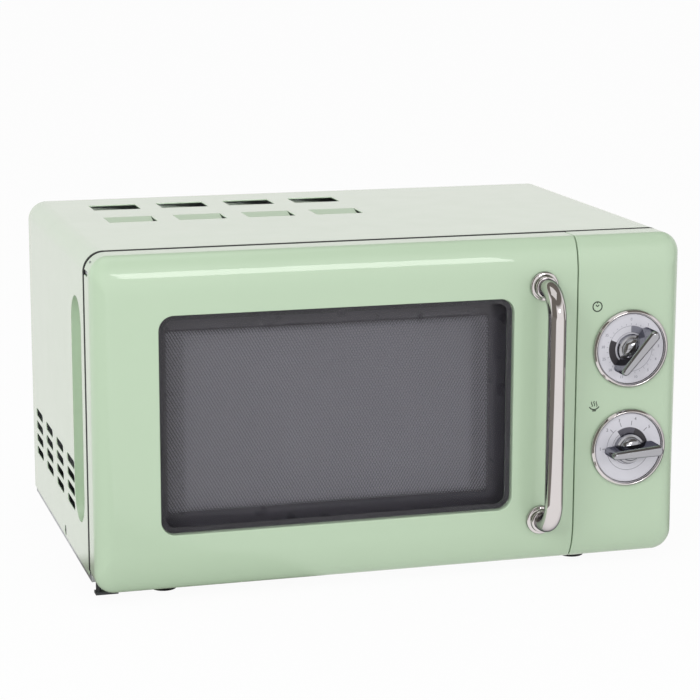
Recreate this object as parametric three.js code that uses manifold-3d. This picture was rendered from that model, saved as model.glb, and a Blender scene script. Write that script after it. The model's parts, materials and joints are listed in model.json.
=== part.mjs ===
// Countertop microwave oven with two mechanical dials, as an assembly of separate pieces.
// Millimetres, +X to the right as seen from the front, -Y to the front, +Z up.
// Inside the oven group y = 0 is the front face of the door and z = 0 is the surface it stands on.
import * as THREE from 'three';
import { mergeVertices } from 'three/addons/utils/BufferGeometryUtils.js';
import Module from 'manifold-3d';

const wasm = await Module();
wasm.setup();

// Fits and facets that every piece shares
const gap = 0.3;
const overrun = 5;
const weldDistance = 0.001;
const quarter = Math.PI / 2;
const sides = { large: 32, round: 20, small: 12, tiny: 8 };

// Outer casing
const casing = {
  width: 452, height: 258.2, corner: 15, sheet: 1, sideBottom: 16.8, depth: 268.9, bulge: 8.1,
};
const moulding = { bottom: 9, depth: 28.6, round: 12, wall: 3.2, front: 7, doorGap: 1.4, splitGap: 0.9 };
const controls = { width: 83.9 };
const foot = {
  height: 12.2, radius: 10.4, soleRadius: 9.6, neckRadius: 4.2, headRadius: 5.6, headHeight: 2.4,
};
const footPlace = { left: 57.5, right: 69, front: 12.4, back: 28 };
const base = { flange: 13 };
const recess = { frontInset: 17, width: 43, fromBottom: 29.2, fromTop: 38.2, depth: 5.5 };
const sideVent = {
  columns: 4, rows: 4, length: 31, height: 5.6, backInset: 19, pitchY: 52, fromBottom: 33.9, pitchZ: 10.7,
};
const topVent = {
  count: 4, rows: 2, width: 38, length: 28, drop: 6, leftInset: 44, pitchX: 55.6, backInset: 36, pitchY: 69,
};
const caseScrew = { radius: 2, fromFront: 110, fromBottom: 5.2 };

// Cavity and the bay beside it
const cavity = { leftSpace: 30, floor: 34, topSpace: 22, sheet: 1, flange: 9, coupler: 9.5 };
const bay = { width: 120 };
const lampHole = { radius: 2, rows: 3, columns: 3, pitch: 6 };
const port = { length: 62, height: 40 };

// Window and door
const window = { left: 48.1, right: 49.7, bottom: 43, top: 43.9, corner: 11, ledge: 4 };
const glass = { recess: 2, thickness: 3.2 };
const screen = { y: 21.5, sheet: 1, right: 19.5 };
const choke = { overlap: 2, corner: 6 };
const film = { thickness: 0.5, margin: 1 };
const pivot = { fromSide: 4.5, y: 20, radius: 2, clearance: 0.4, length: 8, seat: 10 };
const hingeArm = {
  sheet: 2, width: 8, reach: 4, tip: 2.6, footInset: 6, footLength: 28, footWidth: 18, drop: 13,
  lowerDrop: 0.5, notch: 0.7,
};
const hingeBlock = { width: 14, depth: 16.6, height: 13 };
const latch = {
  fromEdge: 10.2, width: 7, back: 18, fromBottom: 63, fromTop: 58.2, hookHeight: 10, hookTip: 46, tooth: 4,
};
const latchTravel = 4;
const latchSlot = { margin: 1.6, sideMargin: 2.2 };
const latchSpring = { radius: 3, length: 19.4, seat: 4, seatWidth: 10 };

// Handle
const handle = { fromEdge: 27.2, fromBottom: 34, fromTop: 35.2, standoff: 29.4, radius: 6.8, bend: 20 };
const handleSteps = { bend: 6, halfSides: 6 };
const handleBase = { radius: 11, step: 3.4, neckRadius: 8.6, height: 8, lip: 0.8 };

// Dials and knobs
const dial = {
  offset: 0.6, fromTop: 86.6, pitch: 77, radius: 30, faceRadius: 27, height: 4, lip: 1.2, plate: 1.3, hole: 5,
};
const knob = {
  baseRadius: 11.5, height: 11, domeRadius: 6, bore: 3.4, grip: 41.5, wide: 8.4, narrow: 6.4, proud: 23.5,
  lift: 3,
};
const timerPointer = 41;
const powerPointer = 87;
const shaft = { radius: 3, hole: 6, insertion: 9 };
const timerUnit = {
  width: 62, above: 18, below: 16, front: 22, depth: 40, bossRadius: 4, bossInset: 7, margin: 6,
};
const bell = { radius: 17, height: 11, lip: 2, thickness: 1, post: 2.5, aboveCore: 41.3 };

// Interlock
const interlock = { sheet: 2.4, flange: 28, left: 9.6, margin: 15, depth: 46, ledge: 4 };
const microswitch = {
  width: 10, depth: 27.8, height: 15.9, fromHook: 4, button: 1.4, buttonSize: 3, drop: 6, pitch: 24,
};

// Microwave source
const guide = { depth: 20, fromSocket: 1, length: 116, height: 66, sheet: 1, antennaHole: 9.5 };
const mica = { thickness: 0.5, margin: 5 };
const magnetron = { plate: 2, depth: 92, height: 80, yoke: 60, fins: 6, fin: 1.6, tube: 20 };
const antenna = { radius: 7.5, length: 13, fromGuide: 75, fromCeiling: 55 };
const filterBox = { depth: 52, height: 54, length: 23 };

// Power supply
const core = { width: 90, depth: 64, height: 78, limb: 30, window: 15, windowHeight: 50, fromInterlock: 3 };
const coil = { overhang: 11, split: 1 };
const capacitor = { width: 52, height: 34, length: 84, fromBay: 12, fromCoil: 3, tab: 6, tabSize: 4 };
const diode = { radius: 4, length: 22, fromCapacitor: 24, legLength: 10, legRadius: 1 };
const board = { width: 92, height: 50, thickness: 1.6, fromTop: 14, standoff: 6, postRadius: 2.5, inset: 6 };
const chokeCoil = { size: 20, depth: 18, pitch: 30, inset: 12 };
const fuse = { radius: 3.15, length: 30, fromTop: 8 };

// Cooling
const fan = {
  fromBase: 86.5, radius: 48, clearance: 3, wall: 2, plate: 104, sheet: 2, standoff: 2, duct: 22,
};
const blade = { count: 5, hub: 9, depth: 14, chord: 26, thickness: 1.6, pitch: 0.55 };
const fanMotor = { width: 60, height: 44, depth: 26, shaft: 1.6, arm: 8 };
const rearVent = { columns: 3, rows: 8, length: 26, height: 4, pitchX: 33, pitchZ: 10 };

// Lamp and cut-out
const lamp = { radius: 9, fromInterlock: 2, fromCeiling: 30, neck: 5, neckLength: 6 };
const socket = { size: 22, depth: 16 };
const cutout = { radius: 8, height: 8, behindLamp: 12, fromCeiling: 76, tab: 5, tabSize: 3 };

// Turntable
const motor = { radius: 25, height: 14.5, shaft: 3.5, shaftRise: 9, ear: 6 };
const coupler = { radius: 12, height: 10, lobe: 4, lobes: 3, bore: 3.9, lift: 2 };
const ring = { radius: 80, width: 6, height: 6, axle: 2.2, axleLength: 9 };
const wheel = { radius: 8, width: 6, count: 3, clearance: 0.4 };
const tray = { clearance: 14.7, thickness: 5, rim: 9, rimWidth: 10, hub: 18, hubDepth: 4.6, hubWall: 4 };

// Cord inlet
const bushing = { radius: 9, bore: 4, hole: 7, collar: 2.5, fromSide: 26, fromBase: 21.5 };

// Materials, with the colours of the real surfaces
function finish(color, roughness, metalness) {
  return new THREE.MeshStandardMaterial({ color, roughness, metalness });
}

const paint = finish(0xbcd3b4, 0.25, 0);
const chrome = finish(0xdadcdd, 0.08, 1);
const zinc = finish(0xb4b8ba, 0.45, 0.9);
const blackPlastic = finish(0x1b1b1d, 0.4, 0);
const glassBlack = finish(0x242427, 0.06, 0.1);
const clearGlass = finish(0xd8e6e4, 0.05, 0.1);
const greyPaint = finish(0xb9babb, 0.5, 0.2);
const copper = finish(0xa8612f, 0.35, 0.9);
const steel = finish(0x6d7072, 0.5, 0.8);
const aluminium = finish(0xc7cacc, 0.4, 0.9);
const whitePlastic = finish(0xf0efea, 0.4, 0);
const rubber = finish(0x232323, 0.8, 0);
const circuit = finish(0x7a5a2c, 0.6, 0);
const brass = finish(0xb9975a, 0.35, 0.9);
const micaSheet = finish(0xb7ad97, 0.6, 0);

// Solids from three.js geometry
function solid(geometry) {
  geometry.deleteAttribute('normal');
  geometry.deleteAttribute('uv');
  const merged = mergeVertices(geometry, weldDistance);
  const points = merged.getAttribute('position').array;
  const corners = merged.index.array;
  const faces = [];
  for (let i = 0; i < corners.length; i += 3) {
    const [a, b, c] = corners.slice(i, i + 3);
    if (a !== b && b !== c && c !== a) faces.push(a, b, c);
  }
  const vertProperties = new Float32Array(points);
  const whole = (order) => new wasm.Manifold(new wasm.Mesh({ numProp: 3, vertProperties, triVerts: order }));
  const result = whole(new Uint32Array(faces));
  return result.volume() > 0 ? result : whole(new Uint32Array(faces.reverse()));
}

const join = (first, ...others) => others.reduce((whole, part) => whole.add(part), first);
const cut = (first, ...tools) => tools.reduce((whole, tool) => whole.subtract(tool), first);
const middle = ([low, high]) => (low + high) / 2;
const around = (centre, size) => [centre - size / 2, centre + size / 2];
const grow = ([low, high], margin) => [low - margin, high + margin];

function block(x, y, z) {
  const lengths = [x, y, z].map(([low, high]) => high - low);
  return solid(new THREE.BoxGeometry(...lengths).translate(middle(x), middle(y), middle(z)));
}

const axisX = new THREE.Vector3(1, 0, 0);
const axisY = new THREE.Vector3(0, 1, 0);
const axisZ = new THREE.Vector3(0, 0, 1);
const turnTo = {
  x: new THREE.Matrix4().makeBasis(axisY, axisZ, axisX),
  y: new THREE.Matrix4().makeBasis(axisX, axisZ, axisY.clone().negate()),
  z: new THREE.Matrix4(),
};

// An outline pushed along one axis. It is drawn in Y and Z for x, in X and Z for y, in X and Y for z.
function extrude(outline, [from, to], axis, curveSegments = 6) {
  const depth = to - from;
  const geometry = new THREE.ExtrudeGeometry(outline, { depth, bevelEnabled: false, curveSegments });
  geometry.applyMatrix4(turnTo[axis]);
  const start = { x: [from, 0, 0], y: [0, to, 0], z: [0, 0, from] }[axis];
  return solid(geometry.translate(...start));
}

// A round bar along one axis. Its centre is given on the other two, in X, Y, Z order.
function rod([u, v], radius, [from, to], axis, facets = sides.small) {
  const geometry = new THREE.CylinderGeometry(radius, radius, to - from, facets);
  const centre = (from + to) / 2;
  if (axis === 'x') return solid(geometry.rotateZ(-quarter).translate(centre, u, v));
  if (axis === 'y') return solid(geometry.translate(u, centre, v));
  return solid(geometry.rotateX(quarter).translate(u, v, centre));
}

// A profile of radius and height points, turned about the Y or Z axis
function turned(profile, axis, facets = sides.round) {
  const geometry = new THREE.LatheGeometry(profile.map(([r, h]) => new THREE.Vector2(r, h)), facets);
  return solid(axis === 'z' ? geometry.rotateX(quarter) : geometry);
}

function roundedRect([left, right], [low, high], radius) {
  const shape = new THREE.Shape();
  shape.absarc(right - radius, low + radius, radius, -quarter, 0);
  shape.absarc(right - radius, high - radius, radius, 0, quarter);
  shape.absarc(left + radius, high - radius, radius, quarter, quarter * 2);
  shape.absarc(left + radius, low + radius, radius, quarter * 2, quarter * 3);
  return shape;
}

function arch([left, right], [low, high], radius) {
  const shape = new THREE.Shape();
  shape.moveTo(left, low);
  shape.lineTo(right, low);
  shape.absarc(right - radius, high - radius, radius, 0, quarter);
  shape.absarc(left + radius, high - radius, radius, quarter, quarter * 2);
  return shape;
}

function piece(name, form, material) {
  const { vertProperties, triVerts } = form.getMesh();
  const geometry = new THREE.BufferGeometry();
  geometry.setAttribute('position', new THREE.BufferAttribute(vertProperties, 3));
  geometry.setIndex(new THREE.BufferAttribute(triVerts, 1));
  geometry.computeVertexNormals();
  const mesh = new THREE.Mesh(geometry, material);
  mesh.name = name;
  return mesh;
}

// Planes and lines that several pieces meet at
const halfWidth = casing.width / 2;
const insideHalf = halfWidth - casing.sheet - gap;
const frontY = moulding.depth + moulding.doorGap;
const backY = frontY + casing.depth;
const rearmostY = backY + casing.bulge;
const topInside = casing.height - casing.sheet - gap;
const baseBottom = foot.height + gap;
const baseTop = baseBottom + casing.sheet;
const insideX = [-insideHalf, insideHalf];
const frontPlateY = [frontY, frontY + casing.sheet];
const behindPlate = frontPlateY[1] + gap;
const rearPanelY = [backY - casing.sheet, backY];
const splitX = halfWidth - controls.width;
const doorX = [-halfWidth, splitX - moulding.splitGap];
const panelX = [splitX, halfWidth];
const mouldingZ = [moulding.bottom, casing.height];

const bayX = halfWidth - casing.sheet - bay.width;
const cavityX = [-halfWidth + cavity.leftSpace, bayX - cavity.sheet];
const cavityZ = [cavity.floor + cavity.sheet, casing.height - cavity.topSpace];
const cavityY = [behindPlate, rearmostY - casing.sheet - gap - cavity.sheet];
const cavityCentre = [middle(cavityX), middle([frontY, cavityY[1]])];

const windowX = [doorX[0] + window.left, doorX[1] - window.right];
const windowZ = [moulding.bottom + window.bottom, casing.height - window.top];
const glassSeat = glass.recess + glass.thickness + gap;
const pivotX = doorX[0] + pivot.fromSide;
const upperArmZ = [casing.height - hingeArm.drop - hingeArm.sheet, casing.height - hingeArm.drop];
const lowerArmTop = moulding.bottom - hingeArm.lowerDrop;
const lowerArmZ = [lowerArmTop - hingeArm.sheet, lowerArmTop];
const latchX = around(doorX[1] - latch.fromEdge, latch.width);
const latchZ = [moulding.bottom + latch.fromBottom, casing.height - latch.fromTop];
const hookZ = [latchZ[0], latchZ[1] - latch.hookHeight].map((low) => [low, low + latch.hookHeight]);
const latchSeatZ = latchZ[0] - gap * 2 - latchSpring.length;
const handleZ = [moulding.bottom + handle.fromBottom, casing.height - handle.fromTop];
const slotX = grow(latchX, latchSlot.sideMargin);
const slotZ = hookZ.map(([low, high]) => grow([low - latch.tooth, high + latchTravel], latchSlot.margin));

const dialX = middle(panelX) + dial.offset;
const timerZ = casing.height - dial.fromTop;
const powerZ = timerZ - dial.pitch;
const timerUnitX = around(dialX, timerUnit.width);
const timerUnitY = [timerUnit.front, timerUnit.front + timerUnit.depth];
const timerUnitZ = [powerZ - timerUnit.below, timerZ + timerUnit.above];

// The bay beside the cavity, from the interlock at the front to the fan at the back
const interlockX = slotX[0] - interlock.left + interlock.sheet;
const interlockBack = behindPlate + interlock.depth;
const bayWall = bayX + gap;
const bayMiddle = bayX + bay.width / 2;
const lampAt = [interlockBack + lamp.fromInterlock + lamp.radius, cavityZ[1] - lamp.fromCeiling];
const socketFront = lampAt[0] + lamp.radius + lamp.neckLength + gap;
const socketY = [socketFront, socketFront + socket.depth];
const guideX = [bayWall, bayWall + guide.depth];
const guideY = [socketY[1] + guide.fromSocket, socketY[1] + guide.fromSocket + guide.length];
const antennaAt = [guideY[0] + antenna.fromGuide, cavityZ[1] - antenna.fromCeiling];
const guideZ = around(antennaAt[1], guide.height);
const coreX = around(bayMiddle, core.width);
const coreY = [interlockBack + core.fromInterlock, interlockBack + core.fromInterlock + core.depth];
const coreZ = [baseTop + gap, baseTop + gap + core.height];
const coreWindowZ = around(middle(coreZ), core.windowHeight);
const capacitorX = [bayX + capacitor.fromBay, bayX + capacitor.fromBay + capacitor.width];
const capacitorFront = coreY[1] + coil.overhang + capacitor.fromCoil + capacitor.tab;
const capacitorY = [capacitorFront, capacitorFront + capacitor.length];
const boardX = around(bayMiddle, board.width);
const boardZ = [topInside - board.fromTop - board.height, topInside - board.fromTop];
const boardBack = rearPanelY[0] - gap - board.standoff;
const boardY = [boardBack - board.thickness, boardBack];
const fanAt = [bayMiddle, baseTop + fan.fromBase];
const ductRadius = fan.radius + fan.clearance;
const shroudBack = rearPanelY[0] - gap;
const ductFront = shroudBack - fan.standoff - fan.sheet - fan.duct;
const armY = [ductFront - fan.sheet, ductFront];
const bladeY = [ductFront + fan.clearance, ductFront + fan.clearance + blade.depth];
const bushingAt = [halfWidth - bushing.fromSide, baseTop + bushing.fromBase];

// The turntable, from its motor up to the tray
const motorZ = [cavity.floor - gap - motor.height, cavity.floor - gap];
const couplerZ = [cavityZ[0] + coupler.lift, cavityZ[0] + coupler.lift + coupler.height];
const wheelZ = cavityZ[0] + gap + wheel.radius;
const wheelRadius = ring.radius + ring.width / 2 + gap + wheel.width / 2;
const wheelStep = (quarter * 4) / wheel.count;
const wheelAngles = Array.from({ length: wheel.count }, (_, i) => quarter / 3 + i * wheelStep);
const trayZ = wheelZ + wheel.radius + gap;
const trayRadius = Math.min(cavityX[1] - cavityX[0], cavityY[1] - frontY) / 2 - tray.clearance;

// The whole front as one softly rounded block, from which the door and the control panel are cut
function frontBlock(depth) {
  const outline = roundedRect([-halfWidth, halfWidth], mouldingZ, casing.corner);
  const geometry = new THREE.ExtrudeGeometry(outline, {
    depth, curveSegments: 5, bevelSegments: 5,
    bevelThickness: moulding.round, bevelSize: moulding.round, bevelOffset: -moulding.round,
  });
  geometry.applyMatrix4(turnTo.y);
  const whole = solid(geometry.translate(0, depth + moulding.round, 0));
  const kept = block(grow([-halfWidth, halfWidth], overrun), [-overrun, depth], grow(mouldingZ, overrun));
  return whole.intersect(kept);
}

// The hollow behind the front wall, with its wall all round
function mouldingPocket(x, depth) {
  const outline = roundedRect(grow([-halfWidth, halfWidth], -moulding.wall), grow(mouldingZ, -moulding.wall),
    casing.corner - moulding.wall);
  const whole = extrude(outline, [moulding.front, depth + overrun], 'y');
  const inner = block(grow(x, -moulding.wall), [0, depth + overrun], grow(mouldingZ, overrun));
  return whole.intersect(inner);
}

// Room in the door for the upper hinge arm, open to the left and to the back
const hingeNotch = block([doorX[0] - overrun, pivotX + hingeArm.width / 2 + hingeArm.notch * 2],
  [pivot.y - hingeArm.width / 2 - hingeArm.notch * 2, frontY], grow(upperArmZ, hingeArm.notch));
const chokeRightEdge = doorX[1] - moulding.wall - gap;
const hookSlots = slotZ.map((z) => block(slotX, [screen.y, frontY + overrun * 3], z));

function outerCabinet() {
  const outer = arch([-halfWidth, halfWidth], [casing.sideBottom, casing.height], casing.corner);
  const inner = arch(grow([-halfWidth, halfWidth], -casing.sheet), [casing.sideBottom - overrun,
    casing.height - casing.sheet], casing.corner - casing.sheet);
  const wrap = cut(extrude(outer, [frontY, backY], 'y'), extrude(inner, grow([frontY, backY], overrun), 'y'));
  const pressed = [-1, 1].reduce((whole, side) => pressRecess(whole, side), wrap);
  const tools = [...sideVents(), screwHole(-1), screwHole(1)];
  return topLouvres(cut(pressed, ...tools));
}

// The long round-ended recess pressed into each side behind the door
function pressRecess(whole, side) {
  const y = [frontY + recess.frontInset, frontY + recess.frontInset + recess.width];
  const z = [casing.sideBottom + recess.fromBottom, casing.height - recess.fromTop];
  const deep = halfWidth - recess.depth - casing.sheet;
  const pan = (margin, x) => extrude(roundedRect(grow(y, margin), grow(z, margin), recess.width / 2 + margin),
    x.map((value) => value * side).sort((a, b) => a - b), 'x', 5);
  const opening = pan(0, [halfWidth - casing.sheet - overrun, halfWidth + overrun]);
  const tub = pan(casing.sheet, [deep, halfWidth - casing.sheet]);
  const cup = cut(tub, pan(0, [deep + casing.sheet, halfWidth]));
  return join(cut(whole, opening), cup);
}

function sideVents() {
  const slots = [];
  for (let column = 0; column < sideVent.columns; column += 1) {
    const end = backY - sideVent.backInset - column * sideVent.pitchY;
    for (let row = 0; row < sideVent.rows; row += 1) {
      const low = casing.sideBottom + sideVent.fromBottom + row * sideVent.pitchZ;
      const z = [low, low + sideVent.height];
      const outline = roundedRect([end - sideVent.length, end], z, sideVent.height / 2);
      slots.push(extrude(outline, [-halfWidth - overrun, -halfWidth + overrun], 'x', 2));
    }
  }
  return slots;
}

function screwHole(side) {
  const x = [(halfWidth - overrun) * side, (halfWidth + overrun) * side].sort((a, b) => a - b);
  const centre = [frontY + caseScrew.fromFront, casing.sideBottom + caseScrew.fromBottom];
  return rod(centre, caseScrew.radius, x, 'x', sides.tiny);
}

// Vents in the top, each a window with its tongue pressed down. The rows slope opposite ways.
function topLouvres(whole) {
  let result = whole;
  const under = casing.height - casing.sheet;
  for (let row = 0; row < topVent.rows; row += 1) {
    const back = backY - topVent.backInset - row * topVent.pitchY;
    const y = [back - topVent.length, back];
    const [hinged, free] = row === 0 ? y : [y[1], y[0]];
    for (let column = 0; column < topVent.count; column += 1) {
      const left = -halfWidth + topVent.leftInset + column * topVent.pitchX;
      const x = [left, left + topVent.width];
      const tongue = new THREE.Shape();
      tongue.moveTo(hinged, casing.height);
      tongue.lineTo(free, casing.height - topVent.drop);
      tongue.lineTo(free, under - topVent.drop);
      tongue.lineTo(hinged, under);
      tongue.closePath();
      result = cut(result, block(x, y, [under - overrun, casing.height + overrun]));
      result = join(result, extrude(tongue, grow(x, -gap), 'x'));
    }
  }
  return result;
}

const footCentres = {
  front_left: [-halfWidth + footPlace.left, frontY + footPlace.front],
  front_right: [halfWidth - footPlace.right, frontY + footPlace.front],
  back_left: [-halfWidth + footPlace.left, backY - footPlace.back],
  back_right: [halfWidth - footPlace.right, backY - footPlace.back],
};

function basePlate() {
  const flangeTop = baseBottom + base.flange;
  const inner = insideHalf - casing.sheet;
  const half = [[insideHalf, baseBottom], [insideHalf, flangeTop], [inner, flangeTop], [inner, baseTop]];
  const mirrored = half.map(([x, z]) => [-x, z]).reverse();
  const channel = new THREE.Shape([...half, ...mirrored].map(([x, z]) => new THREE.Vector2(x, z)));
  const plate = extrude(channel, [behindPlate, rearPanelY[0] - gap], 'y');
  const holes = Object.values(footCentres)
    .map((centre) => rod(centre, foot.neckRadius + gap, grow([baseBottom, baseTop], overrun), 'z'));
  const screws = [-1, 1].map((side) => screwHole(side));
  return cut(plate, ...holes, ...screws);
}

function footForm() {
  const top = foot.height;
  const neckTop = baseTop + gap;
  return turned([[0, 0], [foot.soleRadius, 0], [foot.radius, foot.headHeight], [foot.radius, top],
    [foot.neckRadius, top], [foot.neckRadius, neckTop], [foot.headRadius, neckTop],
    [foot.neckRadius, neckTop + foot.headHeight], [0, neckTop + foot.headHeight]], 'z', sides.small);
}

function cavityBox() {
  const outer = block(grow(cavityX, cavity.sheet), [cavityY[0], cavityY[1] + cavity.sheet],
    grow(cavityZ, cavity.sheet));
  const flange = block(grow(cavityX, cavity.flange), [cavityY[0], cavityY[0] + cavity.sheet],
    grow(cavityZ, cavity.flange));
  const inside = block(cavityX, [cavityY[0] - overrun, cavityY[1]], cavityZ);
  const floorHole = rod(cavityCentre, cavity.coupler / 2, grow([cavity.floor, cavityZ[0]], overrun), 'z');
  return cut(join(outer, flange), inside, floorHole, wavePort(), ...lampHoles());
}

function wavePort() {
  return block(grow([cavityX[1], bayX], overrun), around(antennaAt[0], port.length),
    around(antennaAt[1], port.height));
}

function lampHoles() {
  const holes = [];
  for (let row = 0; row < lampHole.rows; row += 1) {
    for (let column = 0; column < lampHole.columns; column += 1) {
      const y = lampAt[0] + (column - (lampHole.columns - 1) / 2) * lampHole.pitch;
      const z = lampAt[1] + (row - (lampHole.rows - 1) / 2) * lampHole.pitch;
      holes.push(rod([y, z], lampHole.radius, grow([cavityX[1], bayX], overrun), 'x', sides.tiny));
    }
  }
  return holes;
}

function frontPlate() {
  const outline = arch(insideX, [baseBottom, topInside], casing.corner - casing.sheet - gap);
  const plate = extrude(outline, frontPlateY, 'y');
  const through = grow(frontPlateY, overrun);
  const opening = block(cavityX, through, cavityZ);
  const timerOpening = block(grow(timerUnitX, timerUnit.margin), through, grow(timerUnitZ, timerUnit.margin));
  const arm = block([-halfWidth - overrun, pivotX + hingeArm.width / 2 + gap], through, grow(upperArmZ, gap));
  return cut(plate, opening, timerOpening, arm, ...hookSlots);
}

function rearPanel() {
  const outline = arch(insideX, [baseBottom, topInside], casing.corner - casing.sheet - gap);
  const plate = extrude(outline, rearPanelY, 'y');
  const bulgeX = grow(cavityX, cavity.sheet * 2 + casing.sheet);
  const bulgeZ = grow(cavityZ, cavity.sheet * 2 + casing.sheet);
  const bulge = extrude(roundedRect(bulgeX, bulgeZ, casing.corner / 3), [rearPanelY[0], rearmostY], 'y', 3);
  const hollow = block(grow(bulgeX, -casing.sheet), [rearPanelY[0] - overrun, rearmostY - casing.sheet],
    grow(bulgeZ, -casing.sheet));
  const inlet = rod(bushingAt, bushing.hole, grow(rearPanelY, overrun), 'y');
  return cut(join(plate, bulge), hollow, inlet, ...rearVents());
}

function rearVents() {
  const slots = [];
  for (let column = 0; column < rearVent.columns; column += 1) {
    const x = around(fanAt[0] + (column - (rearVent.columns - 1) / 2) * rearVent.pitchX, rearVent.length);
    for (let row = 0; row < rearVent.rows; row += 1) {
      const z = around(fanAt[1] + (row - (rearVent.rows - 1) / 2) * rearVent.pitchZ, rearVent.height);
      slots.push(extrude(roundedRect(x, z, rearVent.height / 2), grow(rearPanelY, overrun), 'y', 1));
    }
  }
  return slots;
}

function upperHinge() {
  const armX = [-insideHalf, pivotX + hingeArm.width / 2];
  const arm = block(armX, [pivot.y - hingeArm.reach, behindPlate + hingeArm.sheet], upperArmZ);
  const widest = cavityX[0] - cavity.flange - gap;
  const plateX = [-insideHalf, Math.min(-insideHalf + hingeArm.footWidth, widest)];
  const plate = block(plateX, [behindPlate, behindPlate + hingeArm.sheet],
    [upperArmZ[1] - hingeArm.footLength, upperArmZ[1]]);
  const pin = rod([pivotX, pivot.y], pivot.radius, [upperArmZ[0], upperArmZ[1] + pivot.length], 'z');
  return join(arm, plate, pin);
}

// The arm reaches out to the pin from a leg that stands further in, out of sight behind the door
function lowerHinge() {
  const legX = [pivotX + hingeArm.footInset, pivotX + hingeArm.footInset + hingeArm.width];
  const plateX = [legX[0], legX[0] + hingeArm.footWidth];
  const plateZ = [baseBottom - gap - hingeArm.sheet, baseBottom - gap];
  const arm = block([pivotX - hingeArm.tip, legX[1]], around(pivot.y, hingeArm.width), lowerArmZ);
  const leg = block(legX, [pivot.y, frontY], lowerArmZ);
  const web = block(legX, around(frontY, hingeArm.sheet), [lowerArmZ[0], plateZ[1]]);
  const plate = block(plateX, [frontY, frontY + hingeArm.footLength], plateZ);
  const pin = rod([pivotX, pivot.y], pivot.radius, [lowerArmZ[0], lowerArmZ[1] + pivot.length], 'z');
  return join(arm, leg, web, plate, pin);
}

function doorFrame() {
  const slab = block([doorX[0] - overrun, doorX[1]], [-overrun, moulding.depth], grow(mouldingZ, overrun));
  const outer = frontBlock(moulding.depth).intersect(slab);
  const shellForm = cut(outer, mouldingPocket(doorX, moulding.depth));
  const blockX = [doorX[0], doorX[0] + hingeBlock.width];
  const blockY = [moulding.depth - hingeBlock.depth, moulding.depth - gap];
  const blocks = [
    block(blockX, blockY, [moulding.bottom, moulding.bottom + hingeBlock.height]),
    block(blockX, blockY, [upperArmZ[1] + hingeArm.notch, casing.height]),
  ].map((form) => form.intersect(outer));
  const seat = block(around(middle(latchX), latchSpring.seatWidth), [moulding.front - gap, latch.back],
    [latchSeatZ - latchSpring.seat, latchSeatZ]);
  const opening = extrude(roundedRect(windowX, windowZ, window.corner), [-overrun, glassSeat], 'y', 8);
  const ledge = extrude(roundedRect(grow(windowX, -window.ledge), grow(windowZ, -window.ledge),
    window.corner - window.ledge), [-overrun, moulding.front + overrun], 'y', 8);
  const pinRadius = pivot.radius + pivot.clearance;
  const pinHoles = [
    rod([pivotX, pivot.y], pinRadius, [moulding.bottom - overrun, moulding.bottom + pivot.seat], 'z'),
    rod([pivotX, pivot.y], pinRadius, [upperArmZ[1], upperArmZ[1] + pivot.seat], 'z'),
  ];
  return cut(join(shellForm, ...blocks, seat), opening, ledge, hingeNotch, ...pinHoles);
}

function doorGlass() {
  const outline = roundedRect(grow(windowX, -gap), grow(windowZ, -gap), window.corner - gap);
  return extrude(outline, [glass.recess, glass.recess + glass.thickness], 'y', 8);
}

// The metal pan whose middle is the perforated screen
function doorPlate() {
  const x = [doorX[0] + moulding.wall + gap, doorX[1] - screen.right];
  const z = grow(mouldingZ, -moulding.wall - gap);
  const corner = casing.corner - moulding.wall - gap;
  const pan = extrude(roundedRect(x, z, corner), [moulding.front + gap, screen.y + screen.sheet], 'y');
  const hollow = extrude(roundedRect(grow(x, -screen.sheet), grow(z, -screen.sheet), corner - screen.sheet),
    [moulding.front - overrun, screen.y], 'y');
  return cut(pan, hollow, hingeNotch, hingeBlockRoom(-1), hingeBlockRoom(1));
}

// Room round the door's solid hinge blocks
function hingeBlockRoom(end) {
  const z = end < 0
    ? [moulding.bottom, moulding.bottom + hingeBlock.height + gap]
    : [upperArmZ[0] - hingeArm.notch, casing.height];
  return block([doorX[0], doorX[0] + hingeBlock.width + gap],
    [moulding.depth - hingeBlock.depth - gap, moulding.depth + overrun], z);
}

function chokeCover() {
  const x = [doorX[0] + moulding.wall + gap, chokeRightEdge];
  const z = grow(mouldingZ, -moulding.wall - gap);
  const y = [screen.y + screen.sheet + gap, moulding.depth];
  const outer = extrude(roundedRect(x, z, casing.corner - moulding.wall - gap), y, 'y');
  const edge = roundedRect(grow(cavityX, -choke.overlap), grow(cavityZ, -choke.overlap), choke.corner);
  const opening = extrude(edge, grow(y, overrun), 'y');
  return cut(outer, opening, hingeNotch, hingeBlockRoom(-1), hingeBlockRoom(1), ...hookSlots);
}

function innerFilm() {
  const start = screen.y + screen.sheet + gap;
  const margin = -choke.overlap - film.margin;
  const outline = roundedRect(grow(cavityX, margin), grow(cavityZ, margin), choke.corner);
  return extrude(outline, [start, start + film.thickness], 'y');
}

function latchHooks() {
  const bar = block(latchX, [moulding.front + gap, latch.back], latchZ);
  const hooks = hookZ.flatMap((z) => [
    block(latchX, [latch.back - gap, latch.hookTip], z),
    block(latchX, [latch.hookTip - latch.tooth, latch.hookTip], [z[0] - latch.tooth, z[1]]),
  ]);
  return join(bar, ...hooks);
}

function latchSpringForm() {
  const centreY = middle([moulding.front + gap, latch.back]);
  return rod([middle(latchX), centreY], latchSpring.radius, [latchSeatZ + gap, latchZ[0] - gap], 'z');
}

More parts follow.
